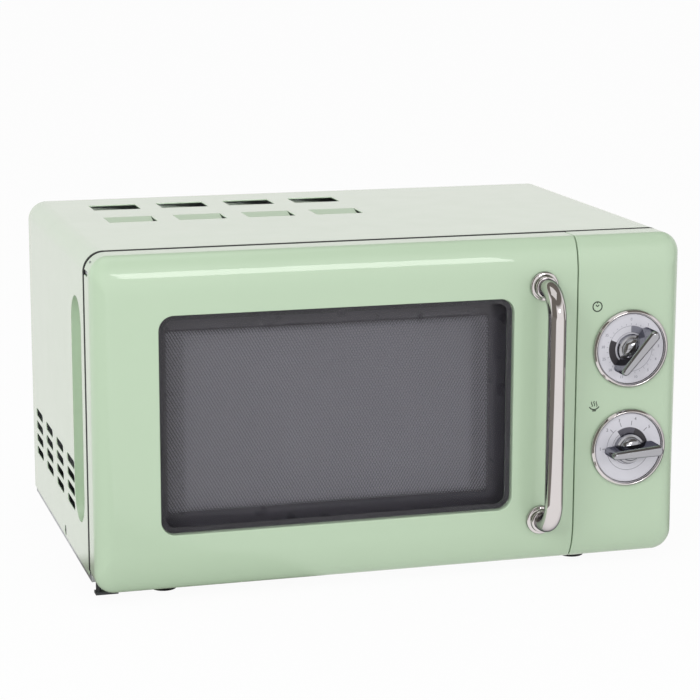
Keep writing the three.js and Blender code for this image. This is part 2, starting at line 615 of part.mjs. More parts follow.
// A bar with a quarter bend at each end, along a path that takes one step for each straight run
class HandlePath extends THREE.Curve {
  constructor() {
    super();
    const { bend, standoff } = handle;
    const [bottom, top] = handleZ;
    const startY = -handleBase.height - gap;
    const elbow = (centreZ, from) => Array.from({ length: handleSteps.bend + 1 }, (_, i) => {
      const angle = from + (i / handleSteps.bend) * quarter;
      const y = -standoff + bend - bend * Math.sin(angle);
      return new THREE.Vector3(0, y, centreZ + bend * Math.cos(angle));
    });
    const ends = [top, bottom].map((z) => new THREE.Vector3(0, startY, z));
    this.stops = [ends[0], ...elbow(top - bend, 0), ...elbow(bottom + bend, quarter), ends[1]];
  }

  getUtoTmapping(u) {
    return u;
  }

  getPoint(t) {
    const place = t * (this.stops.length - 1);
    const index = Math.min(Math.floor(place), this.stops.length - 2);
    return this.stops[index].clone().lerp(this.stops[index + 1], place - index);
  }

  getTangent(t) {
    const place = Math.round(t * (this.stops.length - 1));
    const before = this.stops[Math.max(place - 1, 0)];
    const after = this.stops[Math.min(place + 1, this.stops.length - 1)];
    return after.clone().sub(before).normalize();
  }
}

function handleBar() {
  const path = new HandlePath();
  const section = new THREE.Shape().absarc(0, 0, handle.radius, 0, quarter * 4);
  return solid(new THREE.ExtrudeGeometry(section, {
    steps: path.stops.length - 1, extrudePath: path, curveSegments: handleSteps.halfSides,
  }));
}

function handleBaseForm() {
  const { radius, step, neckRadius, height, lip } = handleBase;
  const neck = [[0, -height], [neckRadius - lip, -height], [neckRadius, -height + lip],
    [neckRadius, -step - gap]];
  const flange = [[radius - lip, -step - gap], [radius, -step + lip], [radius, -gap], [0, -gap]];
  return turned([...neck, ...flange], 'y');
}

function controlPanel() {
  const depth = frontY - gap;
  const slab = block([panelX[0], panelX[1] + overrun], [-overrun, depth], grow(mouldingZ, overrun));
  const outer = frontBlock(depth).intersect(slab);
  const shellForm = cut(outer, mouldingPocket(panelX, depth));
  const bossX = grow(timerUnitX, -timerUnit.bossInset);
  const bossZ = grow(timerUnitZ, -timerUnit.bossInset);
  const bosses = bossX.flatMap((x) => bossZ.map((z) => rod([x, z], timerUnit.bossRadius,
    [moulding.front - gap, timerUnit.front - gap], 'y')));
  const through = [-overrun, moulding.front + overrun];
  const holes = [timerZ, powerZ].map((z) => rod([dialX, z], shaft.hole, through, 'y'));
  return cut(join(shellForm, ...bosses), ...holes);
}

function dialRing() {
  const { radius, faceRadius, height, lip } = dial;
  return turned([[faceRadius, -gap], [faceRadius, -height + lip], [faceRadius + lip / 2, -height],
    [radius - lip, -height], [radius, -height + lip], [radius, -gap], [faceRadius, -gap]], 'y', sides.large);
}

function dialPlate() {
  const edge = dial.faceRadius - gap;
  const front = -gap - dial.plate;
  return turned([[dial.hole, -gap], [dial.hole, front], [edge, front], [edge, -gap], [dial.hole, -gap]],
    'y', sides.large);
}

// A domed hub with a blade grip across it. The grip's wide end is the pointer and starts upright.
function knobForm() {
  const back = -dial.plate - gap * 2;
  const hub = turned([[0, back], [knob.baseRadius, back], [knob.baseRadius, -knob.height + knob.lift],
    [knob.domeRadius, -knob.height], [0, -knob.height]], 'y');
  const outline = new THREE.Shape();
  outline.absarc(0, (knob.grip - knob.wide) / 2, knob.wide / 2, 0, quarter * 2);
  outline.absarc(0, -(knob.grip - knob.narrow) / 2, knob.narrow / 2, quarter * 2, quarter * 4);
  const grip = extrude(outline, [-knob.proud, back - knob.lift], 'y');
  return cut(join(hub, grip), rod([0, 0], knob.bore, [back - shaft.insertion - gap, overrun], 'y'));
}

function shaftForm() {
  const back = -dial.plate - gap * 2;
  return rod([0, 0], shaft.radius, [back - shaft.insertion, timerUnit.front - gap], 'y');
}

function timerUnitForm() {
  return block(timerUnitX, timerUnitY, timerUnitZ);
}

// A thin dome on a post
function timerBell() {
  const rim = timerUnitY[1] + gap;
  const { radius, height, lip, thickness, post } = bell;
  const inner = radius - thickness;
  const form = turned([[0, 0], [post, 0], [post, height - thickness], [inner - lip, height - thickness],
    [inner, lip], [radius, lip], [radius - lip, height], [0, height]], 'y');
  return form.translate(dialX, rim, coreZ[1] + bell.aboveCore);
}

function interlockBody() {
  const z = [hookZ[0][0] - interlock.margin, hookZ[1][1] + interlock.margin];
  const flangeY = [behindPlate, behindPlate + interlock.sheet];
  const flange = block([interlockX, interlockX + interlock.flange], flangeY, z);
  const web = block([interlockX, interlockX + interlock.sheet], [flangeY[0], interlockBack], z);
  const ledges = slotZ.map(([low]) => block([interlockX, latchX[1]], [flangeY[0], latch.hookTip],
    [low - gap - interlock.ledge, low - gap]));
  return cut(join(flange, web), ...hookSlots).add(join(...ledges));
}

function switchForm(height) {
  const x0 = interlockX + interlock.sheet + gap;
  const y = [latch.hookTip + microswitch.fromHook, latch.hookTip + microswitch.fromHook + microswitch.depth];
  const form = block([x0, x0 + microswitch.width], y, [height, height + microswitch.height]);
  const button = block(around(x0 + microswitch.width / 2, microswitch.buttonSize),
    [y[0] - microswitch.button, y[0] + gap],
    [height + microswitch.buttonSize, height + microswitch.buttonSize * 2]);
  return join(form, button);
}

function waveguide() {
  const form = block(guideX, guideY, guideZ);
  const hollow = block([guideX[0] - overrun, guideX[1] - guide.sheet], grow(guideY, -guide.sheet),
    grow(guideZ, -guide.sheet));
  const hole = rod(antennaAt, guide.antennaHole, grow(guideX, overrun), 'x');
  return cut(form, hollow, hole);
}

function micaCover() {
  return block([cavityX[1] - gap - mica.thickness, cavityX[1] - gap],
    around(antennaAt[0], port.length + mica.margin * 2), around(antennaAt[1], port.height + mica.margin * 2));
}

// Mounting plate, yoke, cooling fins round the tube, filter box and the antenna into the waveguide
function magnetronForm() {
  const start = guideX[1] + gap;
  const y = around(antennaAt[0], magnetron.depth);
  const z = around(antennaAt[1], magnetron.height);
  const plate = block([start, start + magnetron.plate], y, z);
  const yokeX = [start, start + magnetron.plate + magnetron.yoke];
  const yoke = cut(block(yokeX, y, z), block(grow(yokeX, -magnetron.plate), grow(y, overrun),
    grow(z, -magnetron.plate)));
  const pitch = magnetron.yoke / (magnetron.fins + 1);
  const fins = Array.from({ length: magnetron.fins }, (_, i) => block(
    around(start + magnetron.plate + pitch * (i + 1), magnetron.fin), grow(y, -magnetron.plate), z));
  const tube = rod(antennaAt, magnetron.tube, yokeX, 'x');
  const box = block([yokeX[1] - gap, yokeX[1] + filterBox.length], around(antennaAt[0], filterBox.depth),
    around(antennaAt[1], filterBox.height));
  const probe = rod(antennaAt, antenna.radius, [start - antenna.length, start + magnetron.plate], 'x');
  return join(plate, yoke, ...fins, tube, box, probe);
}

function transformerCore() {
  const limb = around(middle(coreX), core.limb);
  const windows = [[limb[0] - core.window, limb[0]], [limb[1], limb[1] + core.window]]
    .map((x) => block(x, grow(coreY, overrun), coreWindowZ));
  return cut(block(coreX, coreY, coreZ), ...windows);
}

function winding(z) {
  const limbX = around(middle(coreX), core.limb);
  const outer = block(grow(limbX, core.window - gap), grow(coreY, coil.overhang), z);
  return cut(outer, block(grow(limbX, gap), grow(coreY, gap), grow(z, overrun)));
}

function capacitorForm() {
  const z = [baseTop + gap, baseTop + gap + capacitor.height];
  const can = extrude(roundedRect(capacitorX, z, capacitor.height / 2 - gap), capacitorY, 'y', 3);
  const tabs = grow(capacitorX, -capacitor.height / 2).map((x) => block(around(x, capacitor.tabSize),
    [capacitorY[0] - capacitor.tab, capacitorY[0] + gap], around(middle(z), casing.sheet)));
  return join(can, ...tabs);
}

function diodeForm() {
  const centre = [capacitorX[1] + diode.fromCapacitor, baseTop + gap + diode.radius];
  const y = around(middle(capacitorY), diode.length);
  const legs = rod(centre, diode.legRadius, grow(y, diode.legLength), 'y', sides.tiny);
  return join(rod(centre, diode.radius, y, 'y'), legs);
}

function filterBoard() {
  const plate = block(boardX, boardY, boardZ);
  const posts = grow(boardX, -board.inset).flatMap((x) => grow(boardZ, -board.inset)
    .map((z) => rod([x, z], board.postRadius, [boardY[0], rearPanelY[0] - gap], 'y', sides.tiny)));
  const coils = [0, 1].map((i) => {
    const left = boardX[0] + chokeCoil.inset + i * chokeCoil.pitch;
    const low = boardZ[0] + board.inset;
    return block([left, left + chokeCoil.size], [boardY[0] - chokeCoil.depth, boardY[0] + gap],
      [low, low + chokeCoil.size]);
  });
  return join(plate, ...posts, ...coils);
}

function fuseForm() {
  const z = boardZ[1] - fuse.fromTop;
  const y = boardY[0] - gap - fuse.radius;
  return rod([y, z], fuse.radius, around(middle(boardX), fuse.length), 'x');
}

// A plate on four pads with a duct round the blade and three arms that hold the motor
function fanShroud() {
  const plateY = [ductFront + fan.duct, ductFront + fan.duct + fan.sheet];
  const plate = block(around(fanAt[0], fan.plate), plateY, around(fanAt[1], fan.plate));
  const pads = grow(around(fanAt[0], fan.plate), -fanMotor.arm).flatMap((x) =>
    grow(around(fanAt[1], fan.plate), -fanMotor.arm).map((z) =>
      rod([x, z], fanMotor.arm / 2, [plateY[0], shroudBack], 'y', sides.tiny)));
  const duct = rod(fanAt, ductRadius + fan.wall, [armY[0], plateY[1]], 'y', sides.round);
  const bore = rod(fanAt, ductRadius, [armY[0] - overrun, shroudBack + overrun], 'y', sides.round);
  const armSpan = ductRadius * 2 + fan.wall;
  const arms = [block(around(fanAt[0], armSpan), armY, around(fanAt[1], fanMotor.arm)),
    block(around(fanAt[0], fanMotor.arm), armY, around(fanAt[1], armSpan))];
  const hub = rod(fanAt, fanMotor.arm, armY, 'y');
  const shaftHole = rod(fanAt, fanMotor.shaft + gap * 2, grow(armY, overrun), 'y', sides.tiny);
  return cut(join(cut(join(plate, ...pads, duct), bore), ...arms, hub), shaftHole);
}

function fanMotorForm() {
  const back = armY[0] - gap;
  const frame = block(around(fanAt[0], fanMotor.width), [back - fanMotor.depth, back],
    around(fanAt[1], fanMotor.height));
  const shaftRod = rod(fanAt, fanMotor.shaft, [back - gap, bladeY[1] - gap], 'y', sides.tiny);
  return join(frame, shaftRod);
}

function fanBlade() {
  const hub = rod([0, 0], blade.hub, bladeY, 'y', sides.round);
  const span = fan.radius - blade.hub;
  const vanes = Array.from({ length: blade.count }, (_, i) => {
    const vane = new THREE.BoxGeometry(blade.chord, blade.thickness, span + gap * 2);
    vane.rotateZ(blade.pitch);
    vane.translate(0, 0, blade.hub + span / 2 - gap * 2);
    vane.rotateY((i / blade.count) * quarter * 4);
    return solid(vane.translate(0, middle(bladeY), 0));
  });
  const bore = rod([0, 0], fanMotor.shaft + gap, [bladeY[0] - overrun, bladeY[1] + overrun], 'y', sides.tiny);
  return cut(join(hub, ...vanes), bore).translate(fanAt[0], 0, fanAt[1]);
}

function ovenLamp() {
  const { radius, neck } = lamp;
  const neckAngle = Math.asin(neck / radius);
  const globe = Array.from({ length: sides.tiny + 1 }, (_, i) => {
    const angle = Math.PI - (i / sides.tiny) * (Math.PI - neckAngle);
    return [radius * Math.sin(angle), radius * Math.cos(angle)];
  });
  const neckEnd = socketY[0] - gap - lampAt[0];
  const form = turned([...globe, [neck, neckEnd], [0, neckEnd]], 'y', sides.small);
  return form.translate(bayWall + radius + gap, ...lampAt);
}

function lampSocket() {
  return block([bayWall, bayWall + socket.size], socketY, around(lampAt[1], socket.size));
}

function thermalCutout() {
  const x = [bayWall, bayWall + cutout.height];
  const [y, z] = [lampAt[0] + cutout.behindLamp, cavityZ[1] - cutout.fromCeiling];
  const disc = rod([y, z], cutout.radius, x, 'x');
  const tabs = [-1, 1].map((side) => block([x[1] - gap, x[1] + cutout.tab],
    around(y + side * cutout.tabSize, casing.sheet), around(z, cutout.tabSize)));
  return join(disc, ...tabs);
}

function turntableMotor() {
  const can = rod(cavityCentre, motor.radius, motorZ, 'z', sides.round);
  const earSpan = (motor.radius + motor.ear) * 2;
  const ears = block(around(cavityCentre[0], earSpan), around(cavityCentre[1], motor.ear * 2),
    [motorZ[1] - casing.sheet, motorZ[1]]);
  const spindle = rod(cavityCentre, motor.shaft, [motorZ[0] + gap, cavityZ[0] + motor.shaftRise], 'z');
  return join(can, ears, spindle);
}

function driveCoupler() {
  const hub = rod([0, 0], coupler.radius - coupler.lobe, couplerZ, 'z', sides.round);
  const lobes = Array.from({ length: coupler.lobes }, (_, i) => {
    const angle = (i / coupler.lobes) * quarter * 4;
    const reach = coupler.radius - coupler.lobe;
    return rod([reach * Math.cos(angle), reach * Math.sin(angle)], coupler.lobe, couplerZ, 'z');
  });
  const bore = rod([0, 0], coupler.bore, [couplerZ[0] - overrun, cavityZ[0] + motor.shaftRise + gap], 'z');
  return cut(join(hub, ...lobes), bore);
}

function rollerRing() {
  const [low, high] = around(wheelZ, ring.height);
  const inner = ring.radius - ring.width / 2;
  const outer = ring.radius + ring.width / 2;
  const section = [[inner, low], [outer, low], [outer, high], [inner, high], [inner, low]];
  const hoop = turned(section, 'z', sides.large);
  const axles = wheelAngles.map((angle) => {
    const axle = new THREE.CylinderGeometry(ring.axle, ring.axle, ring.axleLength, sides.tiny);
    axle.rotateZ(-quarter).translate(ring.radius + ring.axleLength / 2, 0, wheelZ);
    return solid(axle.rotateZ(angle));
  });
  return join(hoop, ...axles);
}

function rollerWheel() {
  const bore = ring.axle + wheel.clearance;
  const half = wheel.width / 2;
  const outline = [[bore, -half], [wheel.radius, -half], [wheel.radius, half], [bore, half], [bore, -half]];
  return turned(outline, 'y', sides.round);
}

function glassTray() {
  const { thickness, rim, rimWidth, hub, hubDepth, hubWall } = tray;
  const radius = trayRadius;
  const collar = [[hub - hubWall, 0], [hub - hubWall, -hubDepth], [hub, -hubDepth], [hub, 0]];
  const edge = [[radius - rimWidth, 0], [radius, rim], [radius - thickness / 2, rim + thickness / 2],
    [radius - rimWidth, thickness]];
  return turned([[0, thickness], [0, 0], ...collar, ...edge, [0, thickness]].reverse(), 'z', sides.large);
}

function cordBushing() {
  const { radius, bore, hole, collar } = bushing;
  const inner = rearPanelY[0] - gap;
  const outer = rearPanelY[1] + gap;
  return turned([[bore, inner - collar], [radius, inner - collar], [radius, inner], [hole - gap, inner],
    [hole - gap, outer], [radius, outer], [radius, outer + collar], [bore, outer + collar],
    [bore, inner - collar]], 'y');
}

// Assembly
const oven = new THREE.Group();
const frontmostY = -handle.standoff - handle.radius;
oven.position.y = -(frontmostY + rearmostY) / 2;

function place(mesh, x, y, z) {
  mesh.position.set(x, y, z);
  oven.add(mesh);
  return mesh;
}

function addCasing() {
  oven.add(piece('outer_cabinet', outerCabinet(), paint), piece('base_plate', basePlate(), zinc),
    piece('cavity_box', cavityBox(), greyPaint), piece('front_plate', frontPlate(), greyPaint),
    piece('rear_panel', rearPanel(), zinc), piece('upper_hinge', upperHinge(), zinc),
    piece('lower_hinge', lowerHinge(), steel));
  for (const [corner, centre] of Object.entries(footCentres)) {
    place(piece(`foot_${corner}`, footForm(), rubber), ...centre, 0);
  }
  place(piece('cord_bushing', cordBushing(), blackPlastic), bushingAt[0], 0, bushingAt[1]);
}

function addDoor() {
  oven.add(piece('door_frame', doorFrame(), paint), piece('door_glass', doorGlass(), glassBlack),
    piece('door_plate', doorPlate(), blackPlastic), piece('choke_cover', chokeCover(), blackPlastic),
    piece('door_inner_film', innerFilm(), clearGlass), piece('latch_hooks', latchHooks(), whitePlastic),
    piece('latch_spring', latchSpringForm(), steel));
  const handleX = doorX[1] - handle.fromEdge;
  place(piece('handle_bar', handleBar(), chrome), handleX, 0, 0);
  place(piece('handle_base_upper', handleBaseForm(), chrome), handleX, 0, handleZ[1]);
  place(piece('handle_base_lower', handleBaseForm(), chrome), handleX, 0, handleZ[0]);
}

function addDial(name, z, pointer) {
  place(piece(`${name}_dial_ring`, dialRing(), chrome), dialX, 0, z);
  place(piece(`${name}_dial_plate`, dialPlate(), whitePlastic), dialX, 0, z);
  place(piece(`${name}_shaft`, shaftForm(), brass), dialX, 0, z);
  const turnedKnob = place(piece(`${name}_knob`, knobForm(), chrome), dialX, 0, z);
  turnedKnob.rotation.y = THREE.MathUtils.degToRad(pointer);
}

function addControls() {
  oven.add(piece('control_panel', controlPanel(), paint), piece('timer_unit', timerUnitForm(), zinc),
    piece('timer_bell', timerBell(), brass));
  addDial('timer', timerZ, timerPointer);
  addDial('power', powerZ, powerPointer);
}

function addBay() {
  const half = middle(coreWindowZ);
  oven.add(piece('interlock_body', interlockBody(), whitePlastic));
  const firstSwitch = hookZ[0][0] - microswitch.drop;
  const heights = [firstSwitch, firstSwitch + microswitch.pitch, hookZ[1][0] - microswitch.drop];
  heights.forEach((height, i) => oven.add(piece(`microswitch_${i + 1}`, switchForm(height), blackPlastic)));
  oven.add(piece('waveguide', waveguide(), zinc), piece('mica_cover', micaCover(), micaSheet),
    piece('magnetron', magnetronForm(), aluminium), piece('transformer_core', transformerCore(), steel),
    piece('primary_winding', winding([coreWindowZ[0] + gap, half - coil.split / 2]), copper),
    piece('secondary_winding', winding([half + coil.split / 2, coreWindowZ[1] - gap]), copper),
    piece('capacitor', capacitorForm(), aluminium), piece('hv_diode', diodeForm(), blackPlastic),
    piece('filter_board', filterBoard(), circuit), piece('fuse', fuseForm(), whitePlastic),
    piece('fan_shroud', fanShroud(), zinc), piece('fan_motor', fanMotorForm(), steel),
    piece('fan_blade', fanBlade(), aluminium), piece('oven_lamp', ovenLamp(), clearGlass),
    piece('lamp_socket', lampSocket(), whitePlastic), piece('thermal_cutout', thermalCutout(), blackPlastic));
}

function addTurntable() {
  const [x, y] = cavityCentre;
  oven.add(piece('turntable_motor', turntableMotor(), zinc));
  place(piece('drive_coupler', driveCoupler(), whitePlastic), x, y, 0);
  place(piece('roller_ring', rollerRing(), whitePlastic), x, y, 0);
  place(piece('glass_tray', glassTray(), clearGlass), x, y, trayZ);
  wheelAngles.forEach((angle, i) => {
    const mesh = place(piece(`roller_wheel_${i + 1}`, rollerWheel(), whitePlastic),
      x + wheelRadius * Math.cos(angle), y + wheelRadius * Math.sin(angle), wheelZ);
    mesh.rotation.z = angle - quarter;
  });
}

addCasing();
addDoor();
addControls();
addBay();
addTurntable();

export default oven;
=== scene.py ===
"""Looks of a countertop microwave oven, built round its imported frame.

Lengths are millimetres in the frame's own axes: X to the right, -Y to the front, Z up.
"""
import json
import math

import bmesh
import bpy
from mathutils import Matrix, Vector

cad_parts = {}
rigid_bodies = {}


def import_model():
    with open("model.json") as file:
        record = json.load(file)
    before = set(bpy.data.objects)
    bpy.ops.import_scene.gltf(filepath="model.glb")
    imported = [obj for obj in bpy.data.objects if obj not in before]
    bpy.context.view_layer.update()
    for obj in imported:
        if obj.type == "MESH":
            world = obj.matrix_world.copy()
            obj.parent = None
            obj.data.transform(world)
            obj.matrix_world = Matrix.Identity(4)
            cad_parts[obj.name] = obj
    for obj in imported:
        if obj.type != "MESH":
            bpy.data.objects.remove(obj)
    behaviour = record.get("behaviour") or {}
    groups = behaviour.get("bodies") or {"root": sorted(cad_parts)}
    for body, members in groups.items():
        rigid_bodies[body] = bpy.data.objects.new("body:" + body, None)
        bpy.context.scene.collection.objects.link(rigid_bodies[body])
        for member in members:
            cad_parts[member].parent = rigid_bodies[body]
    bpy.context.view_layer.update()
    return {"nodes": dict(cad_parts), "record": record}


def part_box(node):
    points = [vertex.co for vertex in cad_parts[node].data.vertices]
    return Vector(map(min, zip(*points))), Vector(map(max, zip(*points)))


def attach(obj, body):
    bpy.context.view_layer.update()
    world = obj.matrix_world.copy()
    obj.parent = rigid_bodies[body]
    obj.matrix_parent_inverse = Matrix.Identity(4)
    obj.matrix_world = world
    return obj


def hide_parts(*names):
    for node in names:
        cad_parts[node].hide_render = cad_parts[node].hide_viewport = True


MM = 0.001
QUARTER = math.pi / 2

for leftover in list(bpy.data.objects):
    bpy.data.objects.remove(leftover)
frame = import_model()


def spans(node):
    """A CAD node's extent on each axis"""
    low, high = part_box(node)
    return [(a / MM, b / MM) for a, b in zip(low, high)]


def middle(span):
    return (span[0] + span[1]) / 2


def grown(span, margin):
    return span[0] - margin, span[1] + margin


# Places and sizes that come from the frame
CABINET = spans("outer_cabinet")
DOOR = spans("door_frame")
PANEL = spans("control_panel")
GLASS = spans("door_glass")
PAN = spans("door_plate")
BLOCK = [(DOOR[0][0], PANEL[0][1]), DOOR[1], DOOR[2]]
HINGE = spans("upper_hinge")
BAR = spans("handle_bar")
DIAL_FACE = {"timer": spans("timer_dial_plate"), "power": spans("power_dial_plate")}
DIAL_RING = {"timer": spans("timer_dial_ring"), "power": spans("power_dial_ring")}
POINTER = {"timer": 41, "power": 87}

# Sizes of the visible forms that the frame's boxes don't give
CORNER = 15
CORNER_STEPS = 10
EDGE_ROUND = {"x": 14, "y": 12, "z": 30}
LEAST_CORNER = 2
WALL = 3.2
FRONT_WALL = 7
WINDOW_CORNER = 11
WINDOW_LEDGE = 4
EDGE_BEVEL = 0.7
SHEET_BEVEL = 0.35
FINE_BEVEL = 0.2
SHEET = 1
GAP = 0.3
PRINT = 0.05
FRONT = DOOR[1][0]
HANDLE_BEND = 20
HINGE_ARM = {"pin": 8, "sheet": 2, "room": 0.7, "right": -217.5}
# Width of the dark strip round the front plate, painted shade in the gap between cabinet and door
GAP_SHADE_WIDTH = 4
CABINET_SETBACK = 5
RECESS = {"front": 17, "width": 43, "low": 32, "high": 38.2, "depth": 8}
SIDE_VENT = {"columns": 4, "rows": 4, "length": 34, "height": 6.4, "inset": 18, "pitch_y": 52,
             "low": 33.5, "pitch_z": 10.7}
TOP_VENT = {"count": 4, "rows": 2, "width": 38, "length": 28, "drop": 6, "left": 44, "pitch_x": 55.6,
            "inset": 36, "pitch_y": 69, "twist": 5.5}
SCREW = {"back": 110, "up": 5.2, "radius": 3.6, "room": 0.5, "sunk": 1.2, "facets": 32,
         "crown_share": 0.7, "slot_depth_share": 0.7, "slot_long_share": 0.55, "slot_wide_share": 0.12}


# Shapes
def mesh_piece(vertices, faces):
    mesh = bpy.data.meshes.new("form")
    mesh.from_pydata([Vector(v) * MM for v in vertices], [], faces)
    form = bmesh.new()
    form.from_mesh(mesh)
    bmesh.ops.recalc_face_normals(form, faces=form.faces)
    form.to_mesh(mesh)
    form.free()
    piece = bpy.data.objects.new("form", mesh)
    bpy.context.scene.collection.objects.link(piece)
    return piece


def in_space(u, v, w, axis):
    return {"x": (w, u, v), "y": (u, w, v), "z": (u, v, w)}[axis]


def loft(rings, closed=False):
    """Rings of points with the same count, joined by quads"""
    count = len(rings[0])
    vertices = [point for ring in rings for point in ring]
    faces = []
    steps = len(rings) if closed else len(rings) - 1
    for row in range(steps):
        start, after = row * count, ((row + 1) % len(rings)) * count
        for i in range(count):
            j = (i + 1) % count
            faces.append((start + i, start + j, after + j, after + i))
    if not closed:
        last = (len(rings) - 1) * count
        faces += [tuple(range(count))[::-1], tuple(range(last, last + count))]
    return mesh_piece(vertices, faces)


def prism(outline, span, axis):
    return loft([[in_space(u, v, w, axis) for u, v in outline] for w in span])


def box(x, y, z):
    return prism([(x[0], z[0]), (x[1], z[0]), (x[1], z[1]), (x[0], z[1])], y, "y")


def arc(centre, radius, start, end, steps):
    """Points from one angle to another, in degrees from the first axis"""
    angles = [math.radians(start + (end - start) * i / steps) for i in range(steps + 1)]
    return [(centre[0] + radius * math.cos(a), centre[1] + radius * math.sin(a)) for a in angles]


def rounded(u, v, radius, steps=12):
    left, right, low, high = u[0] + radius, u[1] - radius, v[0] + radius, v[1] - radius
    return (arc((right, low), radius, -90, 0, steps) + arc((right, high), radius, 0, 90, steps)
            + arc((left, high), radius, 90, 180, steps) + arc((left, low), radius, 180, 270, steps))


def lathe(profile, centre, axis="y", facets=96):
    """A profile of radius and height points turned about an axis through a centre"""
    rings = []
    for step in range(facets):
        angle = 4 * QUARTER * step / facets
        ring = []
        for radius, height in profile:
            x, y, z = in_space(radius * math.cos(angle), radius * math.sin(angle), height, axis)
            ring.append((x + centre[0], y + centre[1], z + centre[2]))
        rings.append(ring)
    piece = loft(rings, closed=True)
    form = bmesh.new()
    form.from_mesh(piece.data)
    bmesh.ops.remove_doubles(form, verts=form.verts, dist=MM / 1000)
    bmesh.ops.recalc_face_normals(form, faces=form.faces)
    form.to_mesh(piece.data)
    form.free()
    return piece


def tube(points, radius, facets=48):
    rings = []
    for i, point in enumerate(points):
        before, after = points[max(i - 1, 0)], points[min(i + 1, len(points) - 1)]
        along = (Vector(after) - Vector(before)).normalized()
        side = Vector((1, 0, 0))
        across = along.cross(side)
        rings.append([Vector(point) + radius * (side * math.cos(a) + across * math.sin(a))
                      for a in (4 * QUARTER * k / facets for k in range(facets))])
    return loft(rings)


def baked(piece):
    """The piece with its modifiers applied"""
    graph = bpy.context.evaluated_depsgraph_get()
    mesh = bpy.data.meshes.new_from_object(piece.evaluated_get(graph))
    piece.modifiers.clear()
    piece.data = mesh
    return piece


def combined(first, others, operation):
    for other in others:
        modifier = first.modifiers.new("combine", "BOOLEAN")
        modifier.operation = operation
        modifier.solver = "EXACT"
        modifier.object = other
    baked(first)
    for other in others:
        bpy.data.objects.remove(other)
    return first


def cut(first, *tools):
    return combined(first, tools, "DIFFERENCE")


def joined(first, *others):
    return combined(first, others, "UNION")


def common(first, *others):
    return combined(first, others, "INTERSECT")


def gathered(pieces):
    """Several separate forms as one mesh"""
    form = bmesh.new()
    for piece in pieces:
        form.from_mesh(piece.data)
        bpy.data.objects.remove(piece)
    mesh = bpy.data.meshes.new("form")
    form.to_mesh(mesh)
    form.free()
    whole = bpy.data.objects.new("form", mesh)
    bpy.context.scene.collection.objects.link(whole)
    return whole


def softened(piece, width, segments=3, angle=30):
    """Rounds the sharp edges, then shades smoothly over them"""
    modifier = piece.modifiers.new("soften", "BEVEL")
    modifier.width = width * MM
    modifier.segments = segments
    modifier.limit_method = "ANGLE"
    modifier.angle_limit = math.radians(angle)
    modifier.use_clamp_overlap = False
    modifier.miter_outer = "MITER_ARC"
    return smoothed(baked(piece))


def smoothed(piece, angle=35):
    piece.data.shade_smooth()
    piece.data.set_sharp_from_angle(angle=math.radians(angle))
    modifier = piece.modifiers.new("shade", "WEIGHTED_NORMAL")
    modifier.keep_sharp = True
    modifier.weight = 100
    return baked(piece)


def add_piece(piece, name, body, material, replaces=()):
    piece.name = name
    piece.data.name = name
    piece.data.materials.clear()
    piece.data.materials.append(material)
    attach(piece, body)
    if replaces:
        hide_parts(*replaces)
    return piece


# Materials
class Finish:
    """A material whose Principled shader takes its detail from nodes"""

    def __init__(self, name, color, roughness, metallic=0.0, **values):
        self.material = bpy.data.materials.new(name)
        self.material.use_nodes = True
        self.tree = self.material.node_tree
        self.shader = self.tree.nodes["Principled BSDF"]
        self.place = self.tree.nodes.new("ShaderNodeTexCoord").outputs["Object"]
        self.color = color
        self.roughness = roughness
        self.shader.inputs["Base Color"].default_value = (*color, 1)
        self.shader.inputs["Roughness"].default_value = roughness
        self.shader.inputs["Metallic"].default_value = metallic
        for key, value in values.items():
            self.shader.inputs[key.replace("_", " ").title().replace("Ior", "IOR")].default_value = value

    def node(self, kind, settings=None, **inputs):
        node = self.tree.nodes.new("ShaderNode" + kind)
        for key, value in (settings or {}).items():
            setattr(node, key, value)
        for key, value in inputs.items():
            self.join(value, node.inputs[key.replace("_", " ")])
        return node

    def join(self, value, socket):
        if isinstance(value, bpy.types.NodeSocket):
            self.tree.links.new(value, socket)
        else:
            socket.default_value = value

    def stretched(self, scale):
        """Coordinates squeezed along an axis, for brushed lines"""
        mapping = self.node("Mapping", Vector=self.place)
        mapping.inputs["Scale"].default_value = scale
        return mapping.outputs["Vector"]

    def noise(self, scale, detail=2.0, place=None):
        node = self.node("TexNoise", Vector=place or self.place, Scale=scale, Detail=detail)
        return node.outputs["Fac"]

    def cells(self, scale):
        return self.node("TexVoronoi", Vector=self.place, Scale=scale)

    def ramp(self, value, low, high, low_at=0.3, high_at=0.7):
        """A number spread between two others"""
        node = self.node("MapRange", Value=value)
        limits = {"From Min": low_at, "From Max": high_at, "To Min": low, "To Max": high}
        for key, number in limits.items():
            node.inputs[key].default_value = number
        return node.outputs["Result"]

    def mix(self, share, first, second):
        node = self.node("Mix", {"data_type": "RGBA"})
        self.join(share, node.inputs["Factor"])
        self.join((*first, 1) if isinstance(first, tuple) else first, node.inputs["A"])
        self.join((*second, 1) if isinstance(second, tuple) else second, node.inputs["B"])
        return node.outputs["Result"]

    def tinted(self, value, strength):
        """The base colour a little darker and lighter with a pattern"""
        darker = tuple(c * (1 - strength) for c in self.color)
        lighter = tuple(min(c * (1 + strength), 1) for c in self.color)
        self.join(self.mix(self.ramp(value, 0, 1), darker, lighter), self.shader.inputs["Base Color"])
        return self

    def varied(self, value, spread):
        self.join(self.ramp(value, self.roughness - spread, self.roughness + spread),
                  self.shader.inputs["Roughness"])
        return self

    def bumped(self, value, strength, depth=0.1):
        bump = self.node("Bump", Height=value, Strength=strength, Distance=depth * MM)
        self.join(bump.outputs["Normal"], self.shader.inputs["Normal"])
        return self


def srgb(red, green, blue):
    """A linear colour from the 0 to 255 values of a picture"""
    return tuple(c / 12.92 if c <= 0.04045 else ((c + 0.055) / 1.055) ** 2.4
                 for c in (red / 255, green / 255, blue / 255))


PALE_GREEN = srgb(189, 211, 183)


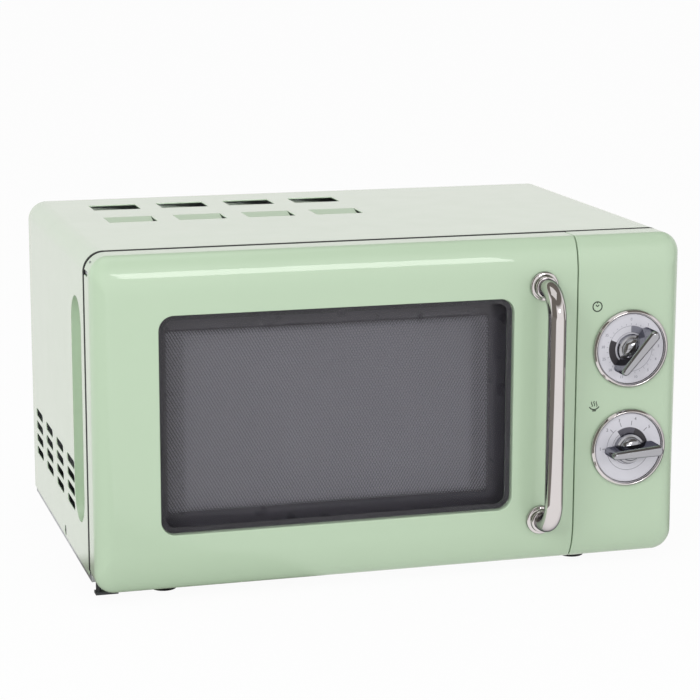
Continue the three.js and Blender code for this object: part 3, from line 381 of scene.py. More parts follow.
def paint_finish(name, coat_ior):
    finish = Finish(name, PALE_GREEN, 0.42, coat_weight=1.0, coat_roughness=0.02, coat_ior=coat_ior)
    return finish.tinted(finish.noise(5), 0.012).varied(finish.noise(40), 0.03) \
        .bumped(finish.noise(420, 1), 0.015).material


def chrome_finish(name, color):
    finish = Finish(name, color, 0.06, 1.0, specular_tint=(0.1, 0.1, 0.13, 1))
    return finish.tinted(finish.noise(30), 0.015).varied(finish.noise(160, 4), 0.025) \
        .bumped(finish.noise(900, 2), 0.02, 0.02).material


def zinc_finish(name):
    finish = Finish(name, srgb(176, 180, 184), 0.42, 0.85)
    spangle = finish.cells(110)
    return finish.tinted(spangle.outputs["Color"], 0.07).varied(spangle.outputs["Distance"], 0.08) \
        .bumped(finish.noise(300), 0.05).material


def enamel_finish(name, color, speck):
    finish = Finish(name, color, 0.34, coat_weight=0.2, coat_roughness=0.15)
    specks = finish.ramp(finish.noise(1500, 2), 0, 1, 0.62, 0.68)
    finish.join(finish.mix(specks, color, speck), finish.shader.inputs["Base Color"])
    return finish.varied(finish.noise(60), 0.04).bumped(finish.noise(700, 2), 0.08).material


def smooth_enamel_finish(name, color):
    finish = Finish(name, color, 0.3, coat_weight=0.3, coat_roughness=0.1)
    return finish.tinted(finish.noise(30), 0.03).varied(finish.noise(60), 0.04) \
        .bumped(finish.noise(90, 1), 0.03).material


def plastic_finish(name, color, roughness=0.42):
    finish = Finish(name, color, roughness)
    return finish.tinted(finish.noise(25), 0.03).varied(finish.noise(80), 0.04) \
        .bumped(finish.noise(1800, 2), 0.12).material


def dial_finish(name):
    finish = Finish(name, srgb(220, 219, 227), 0.38, coat_weight=0.3, coat_roughness=0.1)
    return finish.tinted(finish.noise(60), 0.012).varied(finish.noise(200), 0.03) \
        .bumped(finish.noise(2500), 0.03, 0.02).material


def ink_finish(name, color):
    finish = Finish(name, color, 0.45)
    return finish.tinted(finish.noise(400), 0.08).varied(finish.noise(500), 0.05).material


def metal_finish(name, color, roughness, brushed):
    finish = Finish(name, color, roughness, 0.9)
    lines = finish.noise(90, 3, finish.stretched(brushed))
    return finish.tinted(lines, 0.06).varied(lines, 0.07).bumped(lines, 0.06).material


def winding_finish(name):
    finish = Finish(name, srgb(168, 92, 42), 0.35, 0.7, coat_weight=0.4, coat_roughness=0.2)
    turns = finish.node("TexWave", {"bands_direction": "Z"}, Vector=finish.place, Scale=420.0, Distortion=0.6)
    return finish.tinted(turns.outputs["Fac"], 0.3).bumped(turns.outputs["Fac"], 0.5, 0.4).material


def board_finish(name):
    board, track = srgb(132, 98, 46), srgb(98, 70, 30)
    finish = Finish(name, board, 0.5)
    tracks = finish.ramp(finish.cells(140).outputs["Distance"], 0, 1, 0.28, 0.32)
    finish.join(finish.mix(tracks, board, track), finish.shader.inputs["Base Color"])
    return finish.varied(finish.noise(120), 0.06).bumped(tracks, 0.1).material


def mica_finish(name):
    finish = Finish(name, srgb(186, 176, 154), 0.4, sheen_weight=0.2)
    flakes = finish.cells(260)
    return finish.tinted(flakes.outputs["Color"], 0.12).varied(flakes.outputs["Distance"], 0.12) \
        .bumped(flakes.outputs["Distance"], 0.15).material


def rubber_finish(name):
    finish = Finish(name, srgb(34, 35, 36), 0.75)
    return finish.tinted(finish.noise(90), 0.1).varied(finish.noise(200), 0.06) \
        .bumped(finish.noise(1200, 3), 0.2).material


def glass_finish(name, color, ior, alpha=1.0):
    finish = Finish(name, color, 0.02, transmission_weight=1.0, ior=ior, alpha=alpha)
    return finish.varied(finish.noise(14), 0.008).bumped(finish.noise(9, 1), 0.01).material


def film_finish(name):
    """The pale film behind the screen, seen through its holes"""
    finish = Finish(name, srgb(178, 176, 186), 0.35, coat_weight=0.2, coat_roughness=0.1)
    return finish.tinted(finish.noise(18), 0.03).varied(finish.noise(50), 0.04) \
        .bumped(finish.noise(30), 0.02).material


FINISH = {
    "green_paint": paint_finish("green_paint_finish", 2.1),
    "green_plastic": paint_finish("green_plastic_finish", 1.4),
    "chrome": chrome_finish("chrome_finish", srgb(225, 221, 221)),
    # The knobs' chrome is a darker copy of the chrome: painted shade for the darker reflections on the grips
    "knob_chrome": chrome_finish("knob_chrome_finish", srgb(178, 179, 184)),
    "zinc_sheet": zinc_finish("zinc_finish"),
    "grey_enamel": enamel_finish("grey_enamel_finish", srgb(186, 187, 188), srgb(120, 121, 123)),
    "black_enamel": smooth_enamel_finish("black_enamel_finish", srgb(68, 66, 74)),
    "black_plastic": plastic_finish("black_plastic_finish", srgb(27, 27, 29)),
    "white_plastic": plastic_finish("white_plastic_finish", srgb(236, 235, 230)),
    "dial_face": dial_finish("dial_face_finish"),
    "window_glass": glass_finish("window_glass_finish", (0.86, 0.87, 0.88), 1.2, 0.35),
    "clear_glass": glass_finish("clear_glass_finish", (0.95, 0.98, 0.97), 1.45),
    "clear_film": film_finish("film_finish"),
    "dark_steel": metal_finish("dark_steel_finish", srgb(104, 107, 110), 0.45, (1, 0.1, 1)),
    "aluminium": metal_finish("aluminium_finish", srgb(196, 199, 202), 0.36, (0.1, 1, 1)),
    "copper": winding_finish("copper_finish"),
    "brass": metal_finish("brass_finish", srgb(186, 152, 92), 0.32, (1, 1, 0.1)),
    "rubber": rubber_finish("rubber_finish"),
    "circuit_board": board_finish("circuit_board_finish"),
    "mica": mica_finish("mica_finish"),
}
INK = {
    "black": ink_finish("black_ink", srgb(60, 57, 62)),
    "grey": ink_finish("grey_ink", srgb(134, 134, 146)),
    "dark_grey": ink_finish("dark_grey_ink", srgb(92, 90, 100)),
    "green_black": ink_finish("green_black_ink", srgb(34, 48, 34)),
    "border": ink_finish("border_ink", srgb(52, 50, 57)),
    "screen": ink_finish("screen_enamel", srgb(108, 107, 114)),
}


def dress_cad_nodes():
    """Every carried-over CAD node gets its slot's finish"""
    slots = {}
    for material in frame["record"]["materials"]:
        for node in material.get("nodes", []):
            slots[node] = material["slot"]
    for name, node in frame["nodes"].items():
        slot = slots.get(name) or node.data.materials[0].name.split(".")[0]
        node.data.materials[0] = FINISH[slot]


# Casing
def rounded_block(depth):
    """The whole front with its soft edges, from which door and panel are cut"""
    steps = 20
    rings = []
    for i in range(steps + 1):
        angle = QUARTER * i / steps
        share = 1 - math.sin(angle)
        inset_x, inset_z = EDGE_ROUND["x"] * share, EDGE_ROUND["z"] * share
        y = FRONT + EDGE_ROUND["y"] * (1 - math.cos(angle))
        corner = max(CORNER - inset_x, LEAST_CORNER)
        outline = rounded(grown(BLOCK[0], -inset_x), grown(BLOCK[2], -inset_z), corner, CORNER_STEPS)
        rings.append([(x, y, z) for x, z in outline])
    outline = rounded(BLOCK[0], BLOCK[2], CORNER, CORNER_STEPS)
    rings.append([(x, FRONT + depth, z) for x, z in outline])
    return loft(rings)


def pocket(x, depth):
    outline = rounded(grown(BLOCK[0], -WALL), grown(BLOCK[2], -WALL), CORNER - WALL, CORNER_STEPS)
    hollow = prism(outline, (FRONT + FRONT_WALL, FRONT + depth + CORNER), "y")
    return common(hollow, box(grown(x, -WALL), (FRONT, FRONT + depth + CORNER), grown(BLOCK[2], CORNER)))


def front_part(x, depth):
    """One side of the front block, hollow behind"""
    past_left, past_right = x[0] == BLOCK[0][0], x[1] == BLOCK[0][1]
    slab_x = (x[0] - CORNER * past_left, x[1] + CORNER * past_right)
    slab = box(slab_x, (FRONT - CORNER, FRONT + depth), grown(BLOCK[2], CORNER))
    return cut(common(rounded_block(depth), slab), pocket(x, depth))


def door_frame():
    depth = DOOR[1][1] - DOOR[1][0]
    window_x, window_z = grown(GLASS[0], GAP), grown(GLASS[2], GAP)
    opening = prism(rounded(window_x, window_z, WINDOW_CORNER), (FRONT - CORNER, GLASS[1][1] + GAP), "y")
    ledge = prism(rounded(grown(window_x, -WINDOW_LEDGE), grown(window_z, -WINDOW_LEDGE),
                          WINDOW_CORNER - WINDOW_LEDGE), (FRONT - CORNER, FRONT + CORNER), "y")
    room = HINGE_ARM["room"]
    arm_top = HINGE[2][1] - HINGE_ARM["pin"]
    notch_x = (DOOR[0][0] - CORNER, HINGE_ARM["right"] + 2 * room)
    notch_y = (HINGE[1][0] - 2 * room, DOOR[1][1] + CORNER)
    notch = box(notch_x, notch_y, (arm_top - HINGE_ARM["sheet"] - room, arm_top + room))
    frame_form = cut(front_part(DOOR[0], depth), opening, ledge, notch)
    add_piece(softened(frame_form, EDGE_BEVEL), "door_shell", "door", FINISH["green_plastic"],
              ["door_frame"])


def control_panel():
    panel = front_part(PANEL[0], PANEL[1][1] - PANEL[1][0])
    add_piece(softened(panel, EDGE_BEVEL), "panel_shell", "casing", FINISH["green_plastic"],
              ["control_panel"])


def arch(u, v, radius, steps=14):
    """An outline with its two upper corners rounded"""
    return [(u[0], v[0]), (u[1], v[0])] + arc((u[1] - radius, v[1] - radius), radius, 0, 90, steps) \
        + arc((u[0] + radius, v[1] - radius), radius, 90, 180, steps)


def side_recess(side):
    """The outline of the long round-ended recess"""
    y = (CABINET[1][0] + RECESS["front"], CABINET[1][0] + RECESS["front"] + RECESS["width"])
    z = (CABINET[2][0] + RECESS["low"], CABINET[2][1] - RECESS["high"])
    face = CABINET[0][1] * side
    floor = face - RECESS["depth"] * side

    def pan(margin, near, far):
        outline = rounded(grown(y, margin), grown(z, margin), RECESS["width"] / 2 + margin, 16)
        return prism(outline, sorted((near, far)), "x")

    opening = pan(0, face + CORNER * side, floor)
    tub = pan(SHEET, face - SHEET * side / 2, floor - SHEET * side)
    return opening, tub


def side_vents():
    slots = []
    for column in range(SIDE_VENT["columns"]):
        end = CABINET[1][1] - SIDE_VENT["inset"] - column * SIDE_VENT["pitch_y"]
        for row in range(SIDE_VENT["rows"]):
            low = CABINET[2][0] + SIDE_VENT["low"] + row * SIDE_VENT["pitch_z"]
            outline = rounded((end - SIDE_VENT["length"], end), (low, low + SIDE_VENT["height"]),
                              SIDE_VENT["height"] / 2, 8)
            slots.append(prism(outline, grown((CABINET[0][0],) * 2, CORNER), "x"))
    return slots


def top_vents():
    """The openings in the top and the tongues pressed down in them"""
    openings, tongues = [], []
    top = CABINET[2][1]
    for row in range(TOP_VENT["rows"]):
        back = CABINET[1][1] - TOP_VENT["inset"] - row * TOP_VENT["pitch_y"]
        y = (back - TOP_VENT["length"], back)
        hinged, free = y if row == 0 else y[::-1]
        twist = TOP_VENT["twist"] if row == 0 else 0
        for column in range(TOP_VENT["count"]):
            left = CABINET[0][0] + TOP_VENT["left"] + column * TOP_VENT["pitch_x"]
            x = (left, left + TOP_VENT["width"])
            openings.append(box(x, y, (top - 2 * SHEET, top + CORNER)))
            sections = []
            for side, edge in zip((-1, 1), grown(x, -GAP)):
                low = top - TOP_VENT["drop"] - side * twist
                sections.append([(edge, hinged, top), (edge, free, low), (edge, free, low - SHEET),
                                 (edge, hinged, top - SHEET)])
            tongues.append(loft(sections))
    return openings, tongues


def screw_places():
    return [(x, CABINET[1][0] + SCREW["back"], CABINET[2][0] + SCREW["up"]) for x in CABINET[0]]


def cabinet():
    x, y, z = CABINET[0], (CABINET[1][0] + CABINET_SETBACK, CABINET[1][1]), CABINET[2]
    shell = prism(arch(x, z, CORNER), y, "y")
    inner_outline = arch(grown(x, -SHEET), (z[0] - CORNER, z[1] - SHEET), CORNER - SHEET)
    inner = prism(inner_outline, grown(y, CORNER), "y")
    left, right = side_recess(-1), side_recess(1)
    shell = joined(cut(shell, inner), left[1], right[1])
    shell = cut(shell, left[0], right[0])
    openings, tongues = top_vents()
    screw_rooms = []
    room = SCREW["radius"] + SCREW["room"]
    room_profile = [(0, -CORNER), (room, -CORNER), (room, CORNER), (0, CORNER)]
    for place in screw_places():
        screw_rooms.append(lathe(room_profile, place, "x", SCREW["facets"]))
    shell = cut(shell, *openings, *side_vents(), *screw_rooms)
    add_piece(softened(shell, SHEET_BEVEL, 2), "cabinet_shell", "casing", FINISH["green_paint"],
              ["outer_cabinet"])
    add_piece(softened(gathered(tongues), FINE_BEVEL, 2), "top_vent_tongues", "casing",
              FINISH["green_plastic"])
    gap_shade_strip()


def gap_shade_strip():
    """A dark strip round the front plate, seen as the line between cabinet and door: painted shade for the
    gap there
    """
    x, z = grown(CABINET[0], -PRINT), (CABINET[2][0] + GAP_SHADE_WIDTH, CABINET[2][1] - PRINT)
    y = (CABINET[1][0] - PRINT, CABINET[1][0] + CABINET_SETBACK - PRINT)
    outer = prism(arch(x, z, CORNER), y, "y")
    inner = prism(arch(grown(x, -GAP_SHADE_WIDTH), grown(z, -GAP_SHADE_WIDTH), CORNER - GAP_SHADE_WIDTH), grown(y, SHEET), "y")
    add_piece(cut(outer, inner), "gap_shade_strip", "casing", FINISH["rubber"])


# Window
SCREEN = {"x": (-169.7, 79.5), "z": (62.0, 199.6), "pitch": 2.3, "open": 0.74, "band_x": 14.6,
          "band_z": 3.5, "lap": 1, "corner": 2}
GLASS_BEVEL = 0.4


def window():
    x, y, z = GLASS
    outline = rounded(x, z, WINDOW_CORNER - GAP)
    clear_outline = rounded(grown(x, -WINDOW_LEDGE), grown(z, -WINDOW_LEDGE), WINDOW_CORNER - WINDOW_LEDGE)
    pane = prism(outline, y, "y")
    add_piece(softened(pane, GLASS_BEVEL, 2), "window_pane", "door", FINISH["window_glass"],
              ["door_glass"])
    border = prism(outline, (y[1] + PRINT, y[1] + 2 * PRINT), "y")
    clear = prism(clear_outline, grown(y, CORNER), "y")
    add_piece(cut(border, clear), "window_border", "door", INK["border"])
    inner_x, inner_z = grown(SCREEN["x"], -SCREEN["band_x"]), grown(SCREEN["z"], -SCREEN["band_z"])
    in_middle, in_band = [], []
    for place in hole_places():
        inside = inner_x[0] < place[0] < inner_x[1] and inner_z[0] < place[1] < inner_z[1]
        (in_middle if inside else in_band).append(place)
    perforated("window_screen", in_middle, INK["screen"])
    perforated("window_screen_band", in_band, FINISH["black_enamel"])
    door_pan()


def hole_places():
    """Centres of the screen's holes, each row half a step on"""
    pitch = SCREEN["pitch"]
    row_pitch = pitch * math.sin(math.radians(60))
    columns = int((SCREEN["x"][1] - SCREEN["x"][0]) / pitch)
    rows = int((SCREEN["z"][1] - SCREEN["z"][0]) / row_pitch)
    start_x = middle(SCREEN["x"]) - (columns - 0.5) * pitch / 2
    start_z = middle(SCREEN["z"]) - (rows - 1) * row_pitch / 2
    return [(start_x + (column + row % 2 / 2) * pitch, start_z + row * row_pitch)
            for row in range(rows) for column in range(columns)]


def perforated(name, places, material):
    """Metal sheet round each of the holes, whose six-sided cells fit together"""
    y = PAN[1][1] - SHEET
    vertices, faces = [], []
    sides = 6
    angles = [math.radians(30 + 60 * k) for k in range(sides)]
    edge, hole = SCREEN["pitch"] / math.sqrt(3), SCREEN["pitch"] * SCREEN["open"] / 2
    for x, z in places:
        first = len(vertices)
        second = first + sides
        for radius in (edge, hole):
            vertices += [(x + radius * math.cos(a), y, z + radius * math.sin(a)) for a in angles]
        for k in range(sides):
            after = (k + 1) % sides
            faces.append((first + k, first + after, second + after, second + k))
    add_piece(mesh_piece(vertices, faces), name, "door", material)


def door_pan():
    """The pan round the screen, open where the screen is"""
    x, y, z = PAN
    corner, lap = CORNER - WALL - GAP, SCREEN["lap"]
    hollow_outline = rounded(grown(x, -SHEET), grown(z, -SHEET), corner - SHEET)
    opening_outline = rounded(grown(SCREEN["x"], -lap), grown(SCREEN["z"], -lap), SCREEN["corner"])
    pan = prism(rounded(x, z, corner), y, "y")
    hollow = prism(hollow_outline, (y[0] - CORNER, y[1] - SHEET), "y")
    opening = prism(opening_outline, grown(y, CORNER), "y")
    add_piece(smoothed(cut(pan, hollow, opening)), "door_pan", "door", FINISH["black_enamel"],
              ["door_plate"])


# Handle, whose base profile gives radius and place before the door
HANDLE_BASE = [(0, -8), (7.6, -8), (8.6, -7.0), (8.6, -4.2), (9.2, -3.7), (10.3, -3.6), (11, -2.8),
               (11, -GAP), (0, -GAP)]
HANDLE_BASE_BEVEL = 0.5
BEND_STEPS = 14


def handle():
    x = middle(BAR[0])
    radius = (BAR[0][1] - BAR[0][0]) / 2
    centre_y = BAR[1][0] + radius
    low, high = BAR[2][0] + radius, BAR[2][1] - radius
    start = BAR[1][1]
    upper_bend = arc((centre_y + HANDLE_BEND, high - HANDLE_BEND), HANDLE_BEND, 90, 180, BEND_STEPS)
    lower_bend = arc((centre_y + HANDLE_BEND, low + HANDLE_BEND), HANDLE_BEND, 180, 270, BEND_STEPS)
    points = [(x, y, z) for y, z in [(start, high), *upper_bend, *lower_bend, (start, low)]]
    add_piece(smoothed(tube(points, radius)), "handle_tube", "door", FINISH["chrome"],
              ["handle_bar"])
    for name, z in (("upper", high), ("lower", low)):
        base = softened(lathe(HANDLE_BASE, (x, FRONT, z)), HANDLE_BASE_BEVEL)
        add_piece(base, "handle_base_" + name + "_form", "door", FINISH["chrome"],
                  ["handle_base_" + name])


# Dials
RING = {"width": 3, "crest": (0.9, 1.4), "inner_high": 2.6, "high": 4, "outer_high": 2.4, "bevel": 0.35}
DIAL_DISC = {"bore": 5, "high": 1.6, "bevel": 0.1}
DIAL_FACETS = 128
KNOB = {"grip": 41.5, "wide": 8.4, "narrow": 6.4, "proud": 23.5, "bevel": 0.5,
        "crown": ((0, 2.6), (0.2, 1.8), (0.6, 1.1), (1.3, 0.5), (2.3, 0.1), (3, 0), (18.6, 0)),
        "hub": [(0, -1.9), (11.5, -1.9), (11.5, -5.2), (11, -6.2), (9.6, -6.8), (8.9, -7.2), (8.7, -8.4),
                (7.9, -9.7), (6.2, -10.6), (4, -10.95), (0, -11)]}


def clock(radius, degrees):
    """A point at a clockwise angle from twelve o'clock"""
    angle = math.radians(degrees)
    return radius * math.sin(angle), radius * math.cos(angle)


def sector(inner, outer, start, end):
    """The inner and outer edge of a band round a dial"""
    steps = max(2, int(abs(end - start) / 3))
    angles = [start + (end - start) * i / steps for i in range(steps + 1)]
    return [(clock(inner, a), clock(outer, a)) for a in angles]


def printed(bands, centre, y):
    """Flat bands of ink, given by their two edges, on a face that looks to the front"""
    shapes = []
    for band in bands:
        rings = []
        for (u, v), (p, q) in band:
            corners = [(u, y - PRINT, v), (p, y - PRINT, q), (p, y, q), (u, y, v)]
            rings.append([(a + centre[0], b, c + centre[1]) for a, b, c in corners])
        shapes.append(loft(rings))
    return gathered(shapes)


def numeral(text, size, centre, y):
    curve = bpy.data.curves.new("numeral", "FONT")
    curve.body = text
    curve.size = size * MM
    curve.align_x = "CENTER"
    curve.align_y = "CENTER"
    curve.extrude = PRINT * MM / 2
    piece = bpy.data.objects.new("numeral", curve)
    bpy.context.scene.collection.objects.link(piece)
    bpy.context.view_layer.update()
    graph = bpy.context.evaluated_depsgraph_get()
    mesh = bpy.data.meshes.new_from_object(piece.evaluated_get(graph))
    mesh.transform(Matrix.Translation(Vector((centre[0], y - PRINT / 2, centre[1])) * MM)
                   @ Matrix.Rotation(QUARTER, 4, "X"))
    bpy.data.objects.remove(piece)
    form = bpy.data.objects.new("numeral", mesh)
    bpy.context.scene.collection.objects.link(form)
    return form


def dial_parts(name):
    ring, face = DIAL_RING[name], DIAL_FACE[name]
    centre = (middle(ring[0]), FRONT, middle(ring[2]))
    outer = (ring[0][1] - ring[0][0]) / 2
    inner = outer - RING["width"]
    crest = (inner + RING["crest"][0], outer - RING["crest"][1])
    profile = [(inner, -GAP), (inner, -RING["inner_high"]), (crest[0], -RING["high"]),
               (crest[1], -RING["high"]), (outer, -RING["outer_high"]), (outer, -GAP)]
    ring_form = softened(lathe(profile, centre, facets=DIAL_FACETS), RING["bevel"])
    add_piece(ring_form, name + "_ring_form", "casing", FINISH["chrome"], [name + "_dial_ring"])
    edge = (face[0][1] - face[0][0]) / 2
    bore, high = DIAL_DISC["bore"], DIAL_DISC["high"]
    disc = lathe([(bore, -GAP), (bore, -high), (edge, -high), (edge, -GAP)], centre, facets=DIAL_FACETS)
    add_piece(softened(disc, DIAL_DISC["bevel"], 1), name + "_face_form", "casing", FINISH["dial_face"],
              [name + "_dial_plate"])
    return (centre[0], centre[2]), face[1][0]


def add_print(name, bands, centre, y, ink):
    add_piece(printed(bands, centre, y), name, "casing", INK[ink])


def add_numbers(name, numbers, radius, size, centre, y, ink):
    """Numbers round a dial, each given by its clockwise angle"""
    forms = []
    for angle, text in numbers:
        x, z = clock(radius, angle)
        forms.append(numeral(text, size, (centre[0] + x, centre[1] + z), y))
    add_piece(gathered(forms), name, "casing", INK[ink])


def timer_print():
    centre, y = dial_parts("timer")
    add_print("timer_band", [sector(12.6, 17.7, -65, -147)], centre, y, "black")
    add_print("timer_short_band", [sector(12.6, 17.7, 0, 38)], centre, y, "grey")
    lines = [sector(12.5, 12.75, 0, 358), sector(17.5, 17.75, -65, 0), sector(17.5, 17.75, 38, 210)]
    ticks = [sector(18.4, 19.6, a - 0.4, a + 0.4) for a in range(0, 360, 12)]
    add_print("timer_lines", lines + ticks, centre, y, "grey")
    numbers = [(0, "0"), (38, "1"), (62, "2"), (88, "3"), (114, "4"), (140, "5"), (168, "10"),
               (198, "15"), (226, "20"), (252, "25"), (276, "30"), (300, "35")]
    add_numbers("timer_numbers", numbers, 22.6, 2.9, centre, y, "grey")


def power_print():
    centre, y = dial_parts("power")
    add_print("power_band", [sector(11.3, 15.9, 20, 88)], centre, y, "black")
    add_print("power_pale_band", [sector(11.3, 15.9, -35, 20)], centre, y, "dark_grey")
    lines = [sector(12.7, 12.95, 110, 325), sector(17.3, 17.55, 100, 325)]
    ticks = [sector(17.5, 21, a - 0.6, a + 0.6) for a in (-90, -45, -20, 7, 45)]
    add_print("power_lines", lines + ticks, centre, y, "dark_grey")
    numbers = [(-90, "1"), (-50, "2"), (-20, "3"), (14, "4"), (48, "5")]
    add_numbers("power_numbers", numbers, 22.8, 3.4, centre, y, "dark_grey")


def grip_form():
    """The blade, its front crowned and its pointing end the wider one"""
    rings = []
    for depth, inset in KNOB["crown"]:
        wide, narrow, reach = [KNOB[size] / 2 - inset for size in ("wide", "narrow", "grip")]
        outline = arc((0, reach - wide), wide, 0, 180, 16)
        outline += arc((0, narrow - reach), narrow, 180, 360, 16)
        rings.append([(x, FRONT - KNOB["proud"] + depth, z) for x, z in outline])
    return loft(rings)


def knob(name):
    """A domed hub with a blade grip across it, turned to where its pointer rests"""
    hub = lathe(KNOB["hub"], (0, FRONT, 0))
    form = softened(joined(hub, grip_form()), KNOB["bevel"], 2, 50)
    centre = Vector((middle(DIAL_RING[name][0]), 0, middle(DIAL_RING[name][2]))) * MM
    turn = Matrix.Rotation(math.radians(POINTER[name]), 4, "Y")
    form.data.transform(Matrix.Translation(centre) @ turn)
    add_piece(form, name + "_knob_form", name + "_control", FINISH["knob_chrome"],
              [name + "_knob"])


# Printed pictograms on the panel, by the places of their middles
PICTOGRAM = {"clock": (157.5, 205), "bowl": (156.7, 127.7)}


def stroke(points, width):
    """A line of some width as its two edges"""
    edges = []
    for i, point in enumerate(points):
        before, after = points[max(i - 1, 0)], points[min(i + 1, len(points) - 1)]
        along = (Vector(after) - Vector(before)).normalized()
        across = Vector((-along.y, along.x)) * width / 2
        edges.append((tuple(Vector(point) + across), tuple(Vector(point) - across)))
    return edges


def clock_pictogram():
    lines = [[(0, 0), (-1.3, 1.4)], [(0, 0), (1.3, 1.4)], [(0, 3.4), (0, 2.4)]]
    shapes = [sector(3.2, 4.1, 0, 360)] + [stroke(line, 0.8) for line in lines]
    add_print("clock_pictogram", shapes, PICTOGRAM["clock"], FRONT, "green_black")


def bowl_pictogram():
    bowl = stroke(arc((0, 2.6), 4.6, 212, 328, 14), 0.9)
    base = stroke([(-1.6, -3.0), (1.6, -3.0)], 0.9)
    wave = [(0.4 * math.sin(t * QUARTER / 2), t * 0.5) for t in range(9)]
    steam = [stroke([(x + shift, y + lift) for x, y in wave], 0.7)
             for shift, lift in ((-1.9, 0.2), (0, 0.6), (1.9, 0.2))]
    add_print("bowl_pictogram", [bowl, base, *steam], PICTOGRAM["bowl"], FRONT, "green_black")


# Feet and tray
FOOT = {"sole": 9.2, "edge": (9.6, 0.4), "side": (10.4, 2.4), "high": 12.2, "stem": 4.2, "hidden": 2.4}
TRAY = {"floor": 4.6, "thick": 5, "bump": (14, 18), "flat": 12, "rise": (8, 0.8), "rim": 8.5}
FORM_BEVEL = {"foot": 0.4, "tray": 0.5}


def feet():
    for corner in ("front_left", "front_right", "back_left", "back_right"):
        x, y, z = spans("foot_" + corner)
        stem_top = z[1] - FOOT["hidden"]
        profile = [(0, 0), (FOOT["sole"], 0), FOOT["edge"], FOOT["side"], (FOOT["side"][0], FOOT["high"]),
                   (FOOT["stem"], FOOT["high"]), (FOOT["stem"], stem_top), (0, stem_top)]
        foot = lathe(profile, (middle(x), middle(y), 0), "z", 64)
        add_piece(softened(foot, FORM_BEVEL["foot"], 2), "foot_" + corner + "_form", "casing",
                  FINISH["rubber"], ["foot_" + corner])


def tray():
    x, y, z = spans("glass_tray")
    radius = (x[1] - x[0]) / 2
    low = z[0] + TRAY["floor"]
    high, (near, far), flat = low + TRAY["thick"], TRAY["bump"], radius - TRAY["flat"]
    profile = [(0, low), (near, low), (near, z[0]), (far, z[0]), (far, low), (flat, low),
               (radius - TRAY["rise"][0], low + TRAY["rise"][1]), (radius, low + TRAY["rim"]),
               (radius - 0.4, low + 10.4), (radius - 2.4, z[1]), (radius - 4, low + 9.5),
               (radius - 9.5, low + 5.3), (flat, high), (0, high)]
    dish = lathe(profile, (middle(x), middle(y), 0), "z", 128)
    add_piece(softened(dish, FORM_BEVEL["tray"], 2), "tray_form", "tray", FINISH["clear_glass"],
              ["glass_tray"])


# Screws, inside the outline of the sheets that they hold
def screws():
    radius, sunk = SCREW["radius"], SCREW["sunk"]
    long, short = radius * SCREW["slot_long_share"], radius * SCREW["slot_wide_share"]
    for side, place in zip((-1, 1), screw_places()):
        profile = [(0, -sunk), (radius, -sunk), (radius, -sunk / 2),
                   (radius * SCREW["crown_share"], -sunk / 8), (0, -PRINT)]
        head = lathe([(r, h * side) for r, h in profile], (0, 0, 0), "x", SCREW["facets"])
        slots = []
        for u, v in ((long, short), (short, long)):
            outline = [(-u, -v), (u, -v), (u, v), (-u, v)]
            slots.append(prism(outline, sorted((-sunk * SCREW["slot_depth_share"] * side, sunk * side)), "x"))
        head = cut(head, *slots)
        head.data.transform(Matrix.Translation(Vector(place) * MM))
        name = "side_screw_left" if side < 0 else "side_screw_right"
        add_piece(smoothed(head), name, "casing", FINISH["chrome"])


# Camera, lights and studio. The view and the lamps are in metres, the floor's reach in millimetres.
VIEW = {"lens": 119.17, "sensor": 36, "place": (-0.4960, -1.7288, 0.5240), "right": (0.9609, -0.2770, 0.0018),
        "up": (0.0541, 0.1943, 0.9794), "forward": (0.2717, 0.9410, -0.2017)}
WORLD_LIGHT = 0.62
FLOOR = {"reach": 12000, "color": (0.86, 0.86, 0.86, 1), "roughness": 0.9, "glow_share": 0.95}
MIRROR = {"middle": 0.25, "aside": (0.62, 0.7), "back": (0.05, -0.1), "ceiling": (0.45, 0.62),
          "light": (0.94, 0.92, 0.91, 1), "dark": (0.17, 0.155, 0.135, 1)}


def camera():
    data = bpy.data.cameras.new("camera")
    data.lens = VIEW["lens"]
    data.sensor_width = VIEW["sensor"]
    view = bpy.data.objects.new("camera", data)
    bpy.context.scene.collection.objects.link(view)
    turn = Matrix((Vector(VIEW["right"]), Vector(VIEW["up"]), -Vector(VIEW["forward"]))).transposed()
    view.matrix_world = Matrix.Translation(VIEW["place"]) @ turn.to_4x4()
    bpy.context.scene.camera = view


def lamp(name, place, aim, size, power, mirrored=True):
    data = bpy.data.lights.new(name, "AREA")
    data.shape = "RECTANGLE"
    data.size, data.size_y = size
    data.energy = power
    light = bpy.data.objects.new(name, data)
    bpy.context.scene.collection.objects.link(light)
    light.visible_glossy = mirrored
    light.location = place
    light.rotation_euler = (Vector(aim) - Vector(place)).to_track_quat("-Z", "Y").to_euler()


def studio():
    lamp("top_light", (-0.3, -0.3, 1.9), (0, 0, 0.1), (1.6, 1.2), 4)
    lamp("front_light", (-1.8, -2.1, 1.4), (0, 0, 0.12), (1.4, 1.4), 30, False)
    lamp("strip_light", (0.75, -3.0, 1.22), (0.75, 0, 1.22), (0.84, 0.5), 9)


def math_node(tree, operation, *values):
    node = tree.nodes.new("ShaderNodeMath")
    node.operation = operation
    for value, socket in zip(values, node.inputs):
        if isinstance(value, bpy.types.NodeSocket):
            tree.links.new(value, socket)
        else:
            socket.default_value = value
    return node.outputs[0]


def spread(tree, value, start, end):
    """Nought at the start and one at the end"""
    node = tree.nodes.new("ShaderNodeMapRange")
    tree.links.new(value, node.inputs["Value"])
    node.inputs["From Min"].default_value = start
    node.inputs["From Max"].default_value = end
    return node.outputs["Result"]


def blended(tree, share, first, second):
    node = tree.nodes.new("ShaderNodeMix")
    node.data_type = "RGBA"
    tree.links.new(share, node.inputs["Factor"])
    for value, socket in ((first, node.inputs["A"]), (second, node.inputs["B"])):
        if isinstance(value, bpy.types.NodeSocket):
            tree.links.new(value, socket)
        else:
            socket.default_value = value
    return node.outputs["Result"]


